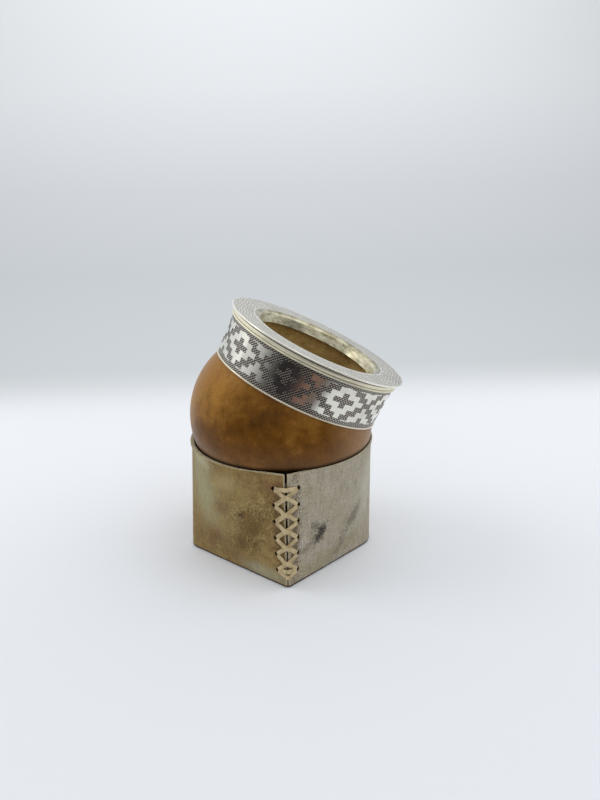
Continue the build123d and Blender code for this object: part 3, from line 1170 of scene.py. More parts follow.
@dataclass
class Collar:
    """The nickel silver collar: wire, band with its pattern, moulding, flange and throat."""

    lean: Lean
    foot: float = 16.4
    wire: float = 0.9
    wire_inner: float = 39.56
    band_height: float = 18.7
    band_inner: float = 39.13
    band_flare: float = 0.8
    band_sheet: float = 0.7
    moulding_height: float = 3.2
    moulding_proud: float = 0.4
    bead_height: float = 1.0
    ridge_bulge: float = 0.8
    ridge_groove: float = 0.15
    undercut: float = 0.9
    undercut_height: float = 0.35
    flange_thickness: float = 1.2
    flange_overhang: float = 2.5
    flange_edge: float = 0.25
    flange_bevel: float = 0.35
    flange_lift: float = 0.45
    flange_play: float = 0.05
    throat_radius: float = 27.6
    throat_taper: float = 1.7
    throat_depth: float = 5.0
    throat_sheet: float = 0.8
    throat_roll: Point = (0.4, 0.25)
    throat_seat: Point = (0.08, 0.2)
    lip_width: float = 2.7
    lip_drop: float = 0.9
    lip_swell: float = 0.16
    lip_rows: int = 12
    shoulder_height: float = 0.6
    shoulder_reach: float = 1.2
    punches: int = 172
    punch_rows: int = 13
    punch_depth: float = 0.12
    punch_steps: int = 4
    relief: float = 0.09
    relief_root: float = 0.03
    motifs: int = 9
    motif_rows: int = 3
    motif_row: float = 2.43
    motif_column: float = 3.5
    motif_middle: float = 28.07
    motif_low: float = -8.97
    motif_high: float = 6.43
    motif_notch: float = 1.15
    motif_tip: float = 1.43
    motif_cross: tuple[float, ...] = (5.3, 1.5)
    motif_mesh: float = 1.2
    first_motif: float = 4.3
    engraving_pitch: float = 1.5
    engraving_lobes: float = 24.0
    engraving_waver: float = 0.42
    engraving_depth: float = 0.08
    engraving_margin: float = 0.5
    engraving_rim: float = 0.1
    engraving_rows: int = 58
    engraving_segments: int = 600
    segments: int = 360

    @property
    def band_foot(self) -> float:
        """Height of the band's lower edge."""
        return self.foot + self.wire

    @property
    def band_top(self) -> float:
        """Height of the band's upper edge."""
        return self.band_foot + self.band_height

    @property
    def moulding_radius(self) -> float:
        """Radius of the seat of the beads."""
        return self.band_inner + self.band_flare + self.band_sheet + self.moulding_proud

    @property
    def flange_bottom(self) -> float:
        """Height of the flange's underside."""
        return self.band_top + self.moulding_height

    @property
    def flange_top(self) -> float:
        """Height of the flange's upper face."""
        return self.flange_bottom + self.flange_thickness

    @property
    def flange_radius(self) -> float:
        """Radius of the flange."""
        return self.moulding_radius + self.flange_overhang

    @property
    def throat_top(self) -> float:
        """Radius of the sleeve at its top."""
        return self.throat_radius + self.throat_taper

    @property
    def lip_radius(self) -> float:
        """Radius of the outer edge of the lip."""
        return self.throat_top + self.lip_width

    def _silver(self, name: str, work: SilverWork, metal: Colour, **others: float) -> Silver:
        """A finish of the collar's metal."""
        return Silver(f"silver_{name}", self.lean, work, metal, **others)

    def _finish(self, piece: bpy.types.Object, crease: float, node: str) -> None:
        """Leans a piece over with the cup and puts it on the object.

        Args:
            piece: The piece, in the cup's own frame.
            crease: Its crease angle in degrees.
            node: The part of the frame that it stands for.
        """
        smooth_faces(piece, crease)
        piece.data.transform(self.lean.matrix)
        settle(piece, "collar_metal", node)

    def build(self) -> None:
        """Makes every piece of the collar."""
        self.build_wire()
        self.build_band()
        self.build_motifs()
        self.build_moulding()
        self.build_flange()
        self.build_throat()

    def build_wire(self) -> None:
        """Makes the half-round wire round the lower edge."""
        half = self.wire / 2
        face = self.wire_inner + half
        section = [(self.wire_inner, self.foot)]
        section += arc((face, self.foot + half), (half, half), -90, 90, 13)
        section += [(self.wire_inner, self.foot + self.wire)]
        piece = turned("collar_wire_round", section, self.segments)
        dress(piece, self._silver("wire", SilverWork.TURNED, srgb(226, 216, 196)))
        self._finish(piece, 40, "collar_wire")

    def build_band(self) -> None:
        """Makes the band, with its ground matted by rows of punch marks."""
        outer = self.band_inner + self.band_sheet
        flare, top = self.band_flare, self.band_top
        rows = self.punch_steps * self.punch_rows + 1
        face = line((outer, self.band_foot), (outer + flare, top), rows)
        back = [(self.band_inner + flare, top), (self.band_inner, self.band_foot)]
        worked = [1.0] * len(face) + [0.0] * len(back)
        around = self.punch_steps * self.punches
        piece = turned("collar_band_matted", face + back, around, worked)
        ground = self._silver("matted", SilverWork.MATTED, srgb(222, 216, 206), roughness=0.32)
        values = {
            "Finish": ground.material(),
            "Columns": float(self.punches),
            "Row height": self.band_height / self.punch_rows * MM,
            "Foot": self.band_foot * MM,
            "Depth": self.punch_depth * MM,
        }
        run_tree(piece, Metalwork.matting(), values)
        self._finish(piece, 60, "collar_band")

    @property
    def motif_halves(self) -> list[float]:
        """Half widths of the diamond's rows, from the middle one out."""
        steps = [self.motif_rows + 0.5 - row for row in range(self.motif_rows)]
        return [*(step * self.motif_column - self.motif_notch for step in steps), self.motif_tip]

    def _in_motif(self, x: float, y: float) -> bool:
        """Tells whether a point lies on the diamond's metal.

        Args:
            x: Distance from the diamond's middle, round the band.
            y: Height above its middle.

        Returns:
            True on the metal, and False outside it and in its cross.
        """
        row = abs(round(y / self.motif_row))
        hole = row < len(self.motif_cross) and abs(x) < self.motif_cross[row]
        return abs(x) < self.motif_halves[row] and not hole

    def motif(self) -> bpy.types.Object:
        """Makes one flat stepped diamond with a cross left open in it.

        Returns:
            The motif's object, in no collection, so that it is never shown.
        """
        halves = [*self.motif_halves, *self.motif_cross, 0.0]
        marks = sorted({sign * half for half in halves for sign in (-1, 1)})
        across: list[float] = []
        for left, right in zip(marks, marks[1:]):
            steps = max(1, math.ceil((right - left) / self.motif_mesh))
            across += list(np.linspace(left, right, steps, endpoint=False))
        across.append(marks[-1])
        rows = range(-self.motif_rows - 1, self.motif_rows + 1)
        edges = [(row + 0.5) * self.motif_row for row in rows]
        drop = (self.motif_rows + 1) * self.motif_row
        trims = [self.motif_high, self.motif_high - drop, self.motif_low + drop]
        up = sorted(edges + [trim for trim in trims if edges[0] < trim < edges[-1]])

        points = [(x, y, 0.0) for y in up for x in across]
        faces = []
        for j, (low, high) in enumerate(zip(up, up[1:])):
            for i, (left, right) in enumerate(zip(across, across[1:])):
                if self._in_motif((left + right) / 2, (low + high) / 2):
                    start = j * len(across) + i
                    faces.append((start, start + 1, start + 1 + len(across), start + len(across)))
        used, corners = np.unique(faces, return_inverse=True)
        faces = corners.reshape(len(faces), -1).tolist()
        made = new_object("motif", np.array(points)[used], faces)
        bpy.context.scene.collection.objects.unlink(made)
        return made

    def build_motifs(self) -> None:
        """Makes the polished diamonds that stand up from the matted ground."""
        piece = new_object("collar_diamonds", np.zeros((1, 3)), [])
        motif = self.motif()
        work = SilverWork.POLISHED
        polished = self._silver("polished", work, srgb(232, 229, 216), roughness=0.1)
        slope = self.band_flare / self.band_height
        seat = self.band_inner + self.band_sheet + slope * (self.motif_middle - self.band_foot)
        values = {
            "Finish": polished.material(),
            "Motif": motif,
            "Count": self.motifs,
            "Arc": 2 * self.motifs * 4 * self.motif_column * MM,
            "Drop": (self.motif_rows + 1) * self.motif_row * MM,
            "Low": self.motif_low * MM,
            "High": self.motif_high * MM,
            "Relief": (self.relief + self.relief_root) * MM,
            "First turn": math.radians(self.first_motif),
            "Height": self.motif_middle * MM,
            "Radius": (seat - self.relief_root) * MM,
            "Slope": slope,
        }
        run_tree(piece, Metalwork.lattice(), values)
        bpy.data.objects.remove(motif)
        self._finish(piece, 30, "collar_band")

    def build_moulding(self) -> None:
        """Makes the thin bead and the wide ridge above it, with painted shade."""
        inner = self.band_inner + self.band_flare
        seat = self.moulding_radius
        bead_half = self.bead_height / 2
        top = self.flange_bottom + self.flange_lift
        ridge_half = (self.moulding_height + self.flange_lift - self.bead_height) / 2
        bead_middle = (seat, self.band_top + bead_half)
        ridge_middle = (seat, top - ridge_half)
        section = [(inner, self.band_top)]
        section += arc(bead_middle, (bead_half, bead_half), -90, 78, 13)
        ridge = (self.ridge_bulge, ridge_half - self.ridge_groove)
        section += arc(ridge_middle, ridge, -80, 80, 21)
        back = seat - self.undercut
        section += [(back, top - self.undercut_height), (back, top), (inner, top)]
        piece = turned("collar_beads", section, self.segments)
        # Painted shade: dark in the crease between bead and ridge and on the ridge's upper part,
        # under the flange.
        dark = [0.0] * 12 + [0.5, 0.7, 0.3] + [0.0] * 12 + [0.2] + [1.0] * 10
        add_number(piece, HOLLOW_AND_SHADE, np.repeat(dark, self.segments))
        metal = self._silver("moulded", SilverWork.TURNED, srgb(246, 240, 216), roughness=0.52)
        dress(piece, metal)
        self._finish(piece, 40, "collar_moulding")

    def build_flange(self) -> None:
        """Makes the flat flange, polished at its edge and engraved on top."""
        bore = self.lip_radius + self.flange_play
        edge, bevel = self.flange_edge, self.flange_bevel
        inner = bore + self.engraving_margin
        outer = self.flange_radius - bevel - self.engraving_rim
        top = line((outer, self.flange_top), (inner, self.flange_top), self.engraving_rows)
        floor = self.flange_bottom + self.flange_lift
        low, high = floor + edge, self.flange_top - bevel
        section = [(bore, floor)]
        section += arc((self.flange_radius - edge, low), (edge, edge), -90, 0, 6)
        section += arc((self.flange_radius - bevel, high), (bevel, bevel), 0, 90, 8)
        worked = [0.0] * (len(section) + 1) + [1.0] * (len(top) - 2) + [0.0, 0.0]
        section += top + [(bore, self.flange_top)]
        piece = turned("collar_flange_engraved", section, self.engraving_segments, worked)
        work = SilverWork.ENGRAVED
        engraved = self._silver("engraved", work, srgb(240, 236, 222), roughness=0.26)
        values = {
            "Finish": engraved.material(),
            "Pitch": self.engraving_pitch * MM,
            "Lobes": self.engraving_lobes,
            "Waver": self.engraving_waver,
            "Depth": self.engraving_depth * MM,
        }
        run_tree(piece, Metalwork.engraving(), values)
        self._finish(piece, 35, "collar_flange")

    def build_throat(self) -> None:
        """Makes the polished lip, the sleeve that hangs from it and its ledge."""
        foot = self.flange_top - self.throat_depth
        sleeve_top = self.flange_top - self.lip_drop
        shoulder = self.flange_bottom - self.shoulder_height
        slope = self.throat_taper / (sleeve_top - foot)
        outer_top = self.throat_radius + self.throat_sheet + slope * (shoulder - foot)
        section = [(self.throat_top + 0.1, sleeve_top - 0.02)]
        back, down = self.throat_seat
        sleeve = (self.throat_top - back, sleeve_top - down)
        section += line(sleeve, (self.throat_radius, foot + down), 9)
        roll = (self.throat_radius + self.throat_roll[0], foot + down)
        section += arc(roll, self.throat_roll, 180, 360, 7)
        ledge = self.lip_radius + self.shoulder_reach
        section += [(outer_top, shoulder), (ledge, shoulder)]
        section += [(ledge, self.flange_bottom), (self.lip_radius, self.flange_bottom)]
        for share in np.linspace(0, 0.92, self.lip_rows):
            radius = self.lip_radius - self.lip_width * share
            swell = self.lip_swell * math.sin(math.pi * share)
            section.append((radius, self.flange_top - self.lip_drop * share + swell))
        piece = turned("collar_throat_polished", section, self.segments)
        lip = list(np.linspace(0.5, 0.3, self.lip_rows - 1))
        dull = [0.0, 0.0] + [0.22] * (len(section) - len(lip) - 3) + lip + [0.0]
        add_number(piece, HOLLOW_AND_SHADE, np.repeat(dull, self.segments))
        dress(piece, self._silver("throat", SilverWork.TURNED, srgb(236, 228, 196), patina=0.8))
        self._finish(piece, 40, "collar_throat")


# ---------------------------------------------------------------- the stand


@dataclass
class Stand:
    """The rawhide strip: square at the foot, round at the rim, its ends meeting at the front."""

    cup: Lean
    height: float = 56.0
    seat_drop: float = 9.2
    seat_reach: float = 43.35
    seat_half_height: float = 40.35
    hide: float = 1.9
    rim_radius: float = 43.24
    flare: float = 1.0
    flare_height: float = 4.5
    corner_reach: float = 3.6
    foot_reach: float = 3.6
    fold_radii: tuple[float, ...] = (12.0, 8.0, 6.0)
    fold_spread: float = 9.0
    seam_gap_top: float = 1.1
    seam_gap_foot: float = 0.4
    seam_bevel: float = 0.7
    bevel_height: float = 1.1
    hole_radius: float = 1.35
    lace_rows: int = 6
    lace_inset: float = 5.8
    lace_first: float = 7.9
    lace_top_margin: float = 2.9
    edge_steps: tuple[int, ...] = (26, 34, 12, 48, 12, 48, 12, 34, 26)
    wall_rows: int = 62
    flare_rows: int = 7
    wall_start: float = 1.2
    foot_round: tuple[Point, ...] = ((0.0, 0.6), (0.25, 0.25), (0.7, 0.04))
    rim_round: tuple[Spot, ...] = ((0.65, 0.14, 0.7), (0.3, 0.42, 0.35), (0.06, 0.74, 0.1))
    rim_thinning: float = 0.05
    hole_points: int = 20
    hole_sizes: Point = (0.88, 1.04)

    @property
    def wall_top(self) -> float:
        """Height at which the flare starts."""
        return self.height - self.flare_height

    @property
    def wall_radius(self) -> float:
        """Radius of the wall below the flare."""
        return self.rim_radius - self.flare

    @property
    def wall_corner(self) -> float:
        """Reach of the laced corner below the flare."""
        return self.wall_radius + self.corner_reach

    @property
    def foot_corner(self) -> float:
        """Reach of the corners at the foot."""
        return self.rim_radius + self.foot_reach

    @property
    def lace_heights(self) -> np.ndarray:
        """Heights of the rows of lacing holes, from the lowest up."""
        return np.linspace(self.lace_first, self.wall_top - self.lace_top_margin, self.lace_rows)

    @property
    def straight_run(self) -> float:
        """Length of the straight edge beside the laced corner, below the flare."""
        return math.sqrt(self.wall_corner**2 - self.wall_radius**2)

    def round_outline(self, radius: float, corner: float) -> np.ndarray:
        """The outline at the rim: a circle drawn out to the laced corner.

        Args:
            radius: The circle's radius.
            corner: The laced corner's reach.

        Returns:
            The outline's points, from the seam round to the seam.
        """
        turn = math.degrees(math.acos(radius / corner))
        spread = self.fold_spread
        folds = [quarter + sign * spread for quarter in (0, 90, 180) for sign in (-1, 1)]
        starts = [turn - 90, *folds, 270 - turn]
        arcs = [
            arc((0, 0), (radius, radius), start, end, count + 1)
            for start, end, count in zip(starts, starts[1:], self.edge_steps[1:-1])
        ]
        edges = [line((0, -corner), arcs[0][0], self.edge_steps[0] + 1), *arcs]
        edges.append(line(arcs[-1][-1], (0, -corner), self.edge_steps[-1] + 1))
        return self._joined(edges)

    def foot_outline(self, corner: float, inset: float, run: float) -> np.ndarray:
        """The outline at the foot: a square on its corner, its other three corners rounded.

        Args:
            corner: The corners' reach.
            inset: How far the outline lies inside the outer face.
            run: Distance along each laced side at which the steps change.

        Returns:
            The outline's points, as many as at the rim.
        """
        folds = []
        for i, outer in enumerate(self.fold_radii):
            radius = outer - inset
            reach = corner - math.sqrt(2) * radius
            turn = math.radians(90 * i)
            spot = (reach * math.cos(turn), reach * math.sin(turn))
            count = self.edge_steps[2 + 2 * i] + 1
            folds.append(arc(spot, (radius, radius), 90 * i - 45, 90 * i + 45, count))
        right = (run / math.sqrt(2), run / math.sqrt(2) - corner)
        left = (-right[0], right[1])
        edges = [line((0, -corner), right, self.edge_steps[0] + 1)]
        start = right
        for fold, count in zip(folds, self.edge_steps[1::2]):
            edges += [line(start, fold[0], count + 1), fold]
            start = fold[-1]
        edges.append(line(start, left, self.edge_steps[-2] + 1))
        edges.append(line(left, (0, -corner), self.edge_steps[-1] + 1))
        return self._joined(edges)

    @staticmethod
    def _joined(edges: Sequence[list[Point]]) -> np.ndarray:
        """One run of points from edges that meet."""
        return np.array([edges[0][0]] + [point for edge in edges for point in edge[1:]])

    def outline(self, height: float, inset: float) -> np.ndarray:
        """The strip's outline at a height.

        Args:
            height: The height.
            inset: How far the outline lies inside the outer face.

        Returns:
            The outline's points.
        """
        share = min(1.0, height / self.wall_top)
        radius = self.wall_radius - inset
        corner = self.wall_corner * radius / self.wall_radius
        run = math.sqrt(corner**2 - radius**2)
        foot = self.foot_outline(self.foot_corner - math.sqrt(2) * inset, inset, run)
        wall = self.round_outline(radius, corner)
        points = foot * (1 - share) + wall * share
        rise = max(0.0, height - self.wall_top) / self.flare_height
        return points * (1 + self.flare / self.wall_radius * rise**1.6)

    def push_out(self, points: np.ndarray) -> np.ndarray:
        """Moves points of the inner face out to the gourd's seat where they lie inside it.

        Args:
            points: The points.

        Returns:
            The moved points.
        """
        matrix = np.array(self.cup.turn.to_matrix())
        axis = matrix[:, 2]
        flat = np.hypot(points[:, 0], points[:, 1])
        ways = points[:, :2] / flat[:, None]
        lift = points[:, 2] - self.cup.middle
        wide, tall = self.seat_reach, self.seat_half_height
        lean = ways @ axis[:2]
        rise = axis[2] * lift
        square = (1 - lean**2) / wide**2 + lean**2 / tall**2
        linear = 2 * lean * rise * (1 / tall**2 - 1 / wide**2)
        rest = (lift**2 - rise**2) / wide**2 + rise**2 / tall**2 - 1
        inside = linear**2 - 4 * square * rest
        reach = (-linear + np.sqrt(np.maximum(inside, 0))) / (2 * square)
        reach = np.where(inside > 0, reach, 0)
        moved = points.copy()
        moved[:, :2] = ways * np.maximum(flat, reach)[:, None]
        return moved

    def corner_point(self, reach: float, height: float) -> Vector:
        """Point of the outer face beside the laced corner, on the +X side.

        Args:
            reach: Distance from the corner.
            height: The point's height.

        Returns:
            The point.
        """
        share = height / self.wall_top
        low = Vector((0, -self.foot_corner, 0)) + Vector((1, 1, 0)).normalized() * reach
        edge = Vector((self.wall_radius, self.straight_run, 0)).normalized()
        high = Vector((0, -self.wall_corner, self.wall_top)) + edge * reach
        return low * (1 - share) + high * share

    def hole(self, height: float) -> tuple[Vector, Vector]:
        """A lacing hole on the +X side.

        Args:
            height: Its height.

        Returns:
            Its middle, and the outward normal there.
        """
        middle = self.corner_point(self.lace_inset, height)
        along = self.corner_point(self.lace_inset + 1, height) - middle
        up = self.corner_point(self.lace_inset, height + 1) - middle
        return middle, along.cross(up).normalized()

    def rows(self) -> list[tuple[float, float, float, float]]:
        """The rows of points that make the strip.

        Returns:
            For each row, from the foot up, height and inset outside, then height and inset inside.
        """
        hide, rim = self.hide, self.height
        wall = np.linspace(self.wall_start, self.wall_top, self.wall_rows)
        flare = np.linspace(self.wall_top, rim - self.bevel_height, self.flare_rows + 1)[1:]
        levels = [(z, inset, z, hide) for z, inset in self.foot_round]
        levels += [(z, 0.0, z, hide) for z in (*wall, *flare)]
        levels += [(rim - out, inset, rim - down, hide) for out, inset, down in self.rim_round]
        levels[-1] = (*levels[-1][:3], hide - self.rim_thinning)
        return levels

    def build(self) -> None:
        """Makes the strip with its seam, its pale cut edges and its lacing holes."""
        sheets = []
        for low, inset, inner_low, inner_inset in self.rows():
            gap = self.gap(low) / 2
            outer = self.trim(self.level(low, inset), gap + self.seam_bevel)
            inner = self.trim(self.push_out(self.level(inner_low, inner_inset)), gap)
            lip = self.trim(self.level(low, inset + self.seam_bevel), gap)
            if low <= self.height / 2:
                steps = np.hypot(*np.diff(outer[:, :2], axis=0).T)
                lengths = np.concatenate([[0], np.cumsum(steps)])
            sheets.append(np.vstack([outer, lip[-1:], inner[::-1], lip[:1]]))
        faces, numbers = self.strip_faces(len(sheets), len(sheets[0]))
        piece = new_object("rawhide_strip", np.vstack(sheets), faces)
        face_outwards(piece)
        self.map_strip(piece, lengths, len(sheets))
        finishes = (
            Rawhide("rawhide_face", float(lengths[-1])),
            CutHideAndShade("rawhide_cut"),
            # Painted shade: dark fibres for the walls of the lacing holes and the lowest rows at
            # the foot.
            CutHideAndShade("rawhide_hole", srgb(84, 64, 40), srgb(44, 30, 18)),
        )
        dress(piece, *finishes)
        piece.data.polygons.foreach_set("material_index", numbers)
        self.cut_holes(piece, finishes)
        smooth_faces(piece, 42)
        settle(piece, "rawhide", "stand_hide")

    def strip_faces(self, rows: int, columns: int) -> tuple[list, list[int]]:
        """Joins the strip's rows of points.

        Args:
            rows: Number of rows.
            columns: Points in a row: the outer face, a lip, the inner face and a lip.

        Returns:
            The faces, and for each its material: 0 the face, 1 a cut edge, 2 painted shade at the
                foot.
        """
        faces = grid_faces(rows, columns, close_columns=True)
        count = (columns - 2) // 2
        cut_from = rows - len(self.rim_round) + 1
        numbers = []
        for row in range(rows - 1):
            for column in range(columns):
                end = column in (count - 1, count, columns - 2, columns - 1)
                rim = row >= cut_from and column < count
                # The lowest rows take the painted shade of the foot's contact line.
                foot = row < len(self.foot_round)
                numbers.append(2 if foot else int(end or rim))
        for row, turn in ((0, False), (rows - 1, True)):
            start = row * columns
            around = [start + i for i in range(count)]
            back = [start + columns - 2 - i for i in range(count)]
            closing = list(zip(around, back, back[1:], around[1:]))
            closing.append((start, start + columns - 1, back[0]))
            closing.append((around[-1], back[-1], start + count))
            faces += [face[::-1] if turn else face for face in closing]
            numbers += [1] * len(closing)
        return faces, numbers

    def level(self, height: float, inset: float) -> np.ndarray:
        """The outline at a height as points in space."""
        outline = self.outline(height, inset)
        return np.column_stack([outline, np.full(len(outline), height)])

    def gap(self, height: float) -> float:
        """Width of the seam at a height."""
        share = height / self.height
        return self.seam_gap_foot * (1 - share) + self.seam_gap_top * share

    def trim(self, points: np.ndarray, half: float) -> np.ndarray:
        """Draws both ends of an outline back from the seam.

        Args:
            points: The outline.
            half: How far from the seam's middle its ends come to lie.

        Returns:
            The shorter outline.
        """
        trimmed = points.copy()
        for order, sign in ((slice(None), 1), (slice(None, None, -1), -1)):
            run = points[order][: self.edge_steps[0] + 1]
            places = run[:, 0] * sign
            wanted = np.linspace(half, places[-1], len(run))
            others = [np.interp(wanted, places, run[:, i]) for i in (1, 2)]
            view = trimmed[order]
            view[: len(run)] = np.column_stack([wanted * sign, *others])
        return trimmed

    def map_strip(self, piece: bpy.types.Object, lengths: np.ndarray, rows: int) -> None:
        """Gives the strip a map in metres: along it, and up.

        Args:
            piece: The strip.
            lengths: For each point of the outer face, its distance along the strip.
            rows: Number of rows of points.
        """
        along = np.concatenate([lengths, lengths[-1:], lengths[::-1], lengths[:1]])
        along = np.tile(along, rows) * MM
        mesh = piece.data
        corners = np.zeros(len(mesh.loops), np.int32)
        mesh.loops.foreach_get("vertex_index", corners)
        places = np.zeros(len(mesh.vertices) * 3)
        mesh.vertices.foreach_get("co", places)
        up = places.reshape(-1, 3)[:, 2]
        layer = mesh.uv_layers.new(name=STRIP_MAP)
        layer.data.foreach_set("uv", np.column_stack([along[corners], up[corners]]).ravel())

    def cut_holes(self, piece: bpy.types.Object, finishes: Sequence[Finish]) -> None:
        """Cuts the lacing holes, each a little out of round.

        Args:
            piece: The strip.
            finishes: The strip's finishes, the painted shade of the holes last.
        """
        chance = np.random.default_rng(7)
        points, faces = [], []
        turns = np.linspace(0, 2 * math.pi, self.hole_points, endpoint=False)
        for side in (1, -1):
            for height in self.lace_heights:
                centre, out = self.hole(height)
                up = Vector((0, 0, 1))
                across = up.cross(out).normalized()
                up = out.cross(across)
                wide, tall = self.hole_radius * chance.uniform(*self.hole_sizes, 2)
                start = len(points)
                for depth in (-2.2 * self.hide, 1.2 * self.hide):
                    for turn in turns:
                        spot = centre + out * depth
                        spot = spot + across * wide * math.cos(turn) + up * tall * math.sin(turn)
                        points.append((spot.x * side, spot.y, spot.z))
                around = range(len(turns))
                plug = grid_faces(2, len(turns), close_columns=True)
                plug += [tuple(around), tuple(len(turns) + i for i in around)]
                faces += [tuple(start + i for i in face) for face in plug]
        cutter = new_object("hole_cutter", np.array(points), faces)
        face_outwards(cutter)
        dress(cutter, *finishes)
        cutter.data.polygons.foreach_set("material_index", [2] * len(cutter.data.polygons))
        cut = piece.modifiers.new("holes", "BOOLEAN")
        cut.object = cutter
        cut.operation = "DIFFERENCE"
        cut.solver = "EXACT"
        keep_result(piece)
        bpy.data.objects.remove(cutter)


# ---------------------------------------------------------------- the lacing


@dataclass
class Lacing:
    """The flat lace that crosses over the corner outside and runs straight across inside."""

    stand: Stand
    width: float = 2.1
    thickness: float = 0.62
    lift: float = 0.42
    over: float = 0.62
    top_drop: float = 0.6
    foot_rise: float = 0.4
    loop_drop: float = 2.0
    loop_over: float = 0.1
    aim_play: float = 0.2
    rise: float = 0.8
    rounding: float = 0.2
    widths: Point = (0.92, 1.06)
    chance: np.random.Generator = field(default_factory=lambda: np.random.default_rng(11))
    paths: list[tuple[np.ndarray, np.ndarray, float]] = field(default_factory=list)

    @staticmethod
    def _flip(steps: Sequence[Step], side: int) -> list[Step]:
        """Mirrors points and normals to the other side of the seam, where the side is -1."""
        turn = Matrix.Diagonal((side, 1, 1))
        return [(turn @ point, turn @ face) for point, face in steps]

    def end(self, side: int, height: float, aim: float, raised: float) -> list[Step]:
        """The way from inside a hole to half way to the corner.

        Args:
            side: 1 for +X and -1 for -X.
            height: The hole's height.
            aim: Height at which the strap crosses the corner.
            raised: Extra lift half way.

        Returns:
            Points and face normals, from the hole inwards first.
        """
        stand = self.stand
        hole, out = stand.hole(height)
        goal = stand.corner_point(0.0, aim)
        seamwards = (goal - hole).normalized()
        away = -(seamwards - out * seamwards.dot(out)).normalized()
        steps = [
            (hole - out * (stand.hide + 0.2) + seamwards * 0.3, away),
            (hole - out * 0.7 + seamwards * 0.45, away),
            (hole - out * 0.05 + seamwards * 0.6, (away * 2 + out).normalized()),
            (hole + out * self.lift * 0.8 + seamwards * 1.15, (away + out * 2).normalized()),
            (hole + out * (self.lift + 0.08) + seamwards * 1.9, out),
            (hole.lerp(goal, 0.55) + out * (self.lift + raised * 0.35), out),
            (hole.lerp(goal, 0.82) + out * (self.lift + raised * 0.85), out),
        ]
        return self._flip(steps, side)

    def strap(self, left: float, right: float, aim: float, raised: float) -> None:
        """Adds a strap from a hole on the left to one on the right, over the corner.

        Args:
            left: Height of the hole on the -X side.
            right: Height of the hole on the +X side.
            aim: Height at which it crosses the corner.
            raised: Extra lift where it lies over another strap.
        """
        aim += self.rise + float(self.chance.uniform(-self.aim_play, self.aim_play))
        apex = self.stand.corner_point(0.0, aim) + Vector((0, -(self.lift * 1.1 + raised), 0))
        steps = self.end(-1, left, aim, raised)
        steps.append((apex, Vector((0, -1, 0))))
        steps += self.end(1, right, aim, raised)[::-1]
        self.add_path(steps)

    def bar(self, height: float) -> None:
        """Adds the bar between two holes inside the corner.

        Args:
            height: The holes' height.
        """
        stand = self.stand
        hole, out = stand.hole(height)
        inside = hole - out * (stand.hide + 0.5)
        along, front = Vector((out.y, -out.x, 0)), Vector((0, -1, 0))
        steps = [
            (hole - out * 0.9, along.normalized()),
            (hole - out * (stand.hide + 0.1), (along + out).normalized()),
            (inside + Vector((-0.9, 0.15, 0)), front),
        ]
        middle = (Vector((0, inside.y + 0.2, height)), front)
        self.add_path([*self._flip(steps, -1), middle, *steps[::-1]])

    def add_path(self, steps: list[Step]) -> None:
        """Smooths a strap's points and keeps them with its face normals.

        Args:
            steps: Points and face normals along the strap.
        """
        points, faces = (self._smooth(np.array(part)) for part in zip(*steps))
        self.paths.append((points, faces, float(self.chance.uniform(*self.widths))))

    @staticmethod
    def _smooth(values: np.ndarray, between: int = 6) -> np.ndarray:
        """Runs a smooth curve through rows of values.

        Args:
            values: The rows.
            between: Rows in the result for each of them.

        Returns:
            The finer rows.
        """
        padded = np.vstack([2 * values[0] - values[1], values, 2 * values[-1] - values[-2]])
        shares = np.linspace(0, 1, between, endpoint=False)[:, None]
        spans = []
        for before, start, end, after in zip(padded, padded[1:], padded[2:], padded[3:]):
            lead, trail = (end - before) / 2, (after - start) / 2
            spans.append(
                (2 * shares**3 - 3 * shares**2 + 1) * start
                + (shares**3 - 2 * shares**2 + shares) * lead
                + (3 * shares**2 - 2 * shares**3) * end
                + (shares**3 - shares**2) * trail
            )
        return np.vstack([*spans, values[-1:]])

    def build(self) -> None:
        """Laces the corner and makes the lace's mesh."""
        heights = self.stand.lace_heights[::-1]
        for upper, lower in zip(heights, heights[1:]):
            middle = (upper + lower) / 2
            self.strap(lower, upper, middle, 0.0)
            self.strap(upper, lower, middle, self.over)
        top, foot = heights[0], heights[-1]
        self.strap(top, top, top - self.top_drop, self.over * 0.5)
        self.strap(foot, foot, foot + self.foot_rise, self.over)
        self.strap(foot, foot, foot - self.loop_drop - self.rise, self.loop_over)
        for height in heights:
            self.bar(height)
        points, faces, scales, edges = [], [], [], []
        for path, normals, scale in self.paths:
            start = len(points)
            points += path.tolist()
            faces += (normals / np.linalg.norm(normals, axis=1, keepdims=True)).tolist()
            scales += [scale] * len(path)
            edges += [(start + i, start + i + 1) for i in range(len(path) - 1)]
        piece = new_object("lace", np.array(points), [], edges)
        made = piece.data.attributes.new(STRAP_FACE, "FLOAT_VECTOR", "POINT")
        made.data.foreach_set("vector", np.array(faces, np.float32).ravel())
        add_number(piece, STRAP_SCALE, np.array(scales))
        values = {
            "Finish": LaceHide("lace_hide").material(),
            "Width": self.width * MM,
            "Thickness": self.thickness * MM,
            "Rounding": self.rounding * MM,
        }
        run_tree(piece, lacing_tree(), values)
        face_outwards(piece)
        smooth_faces(piece, 50)
        settle(piece, "lace", "stand_lace")


# ---------------------------------------------------------------- the studio


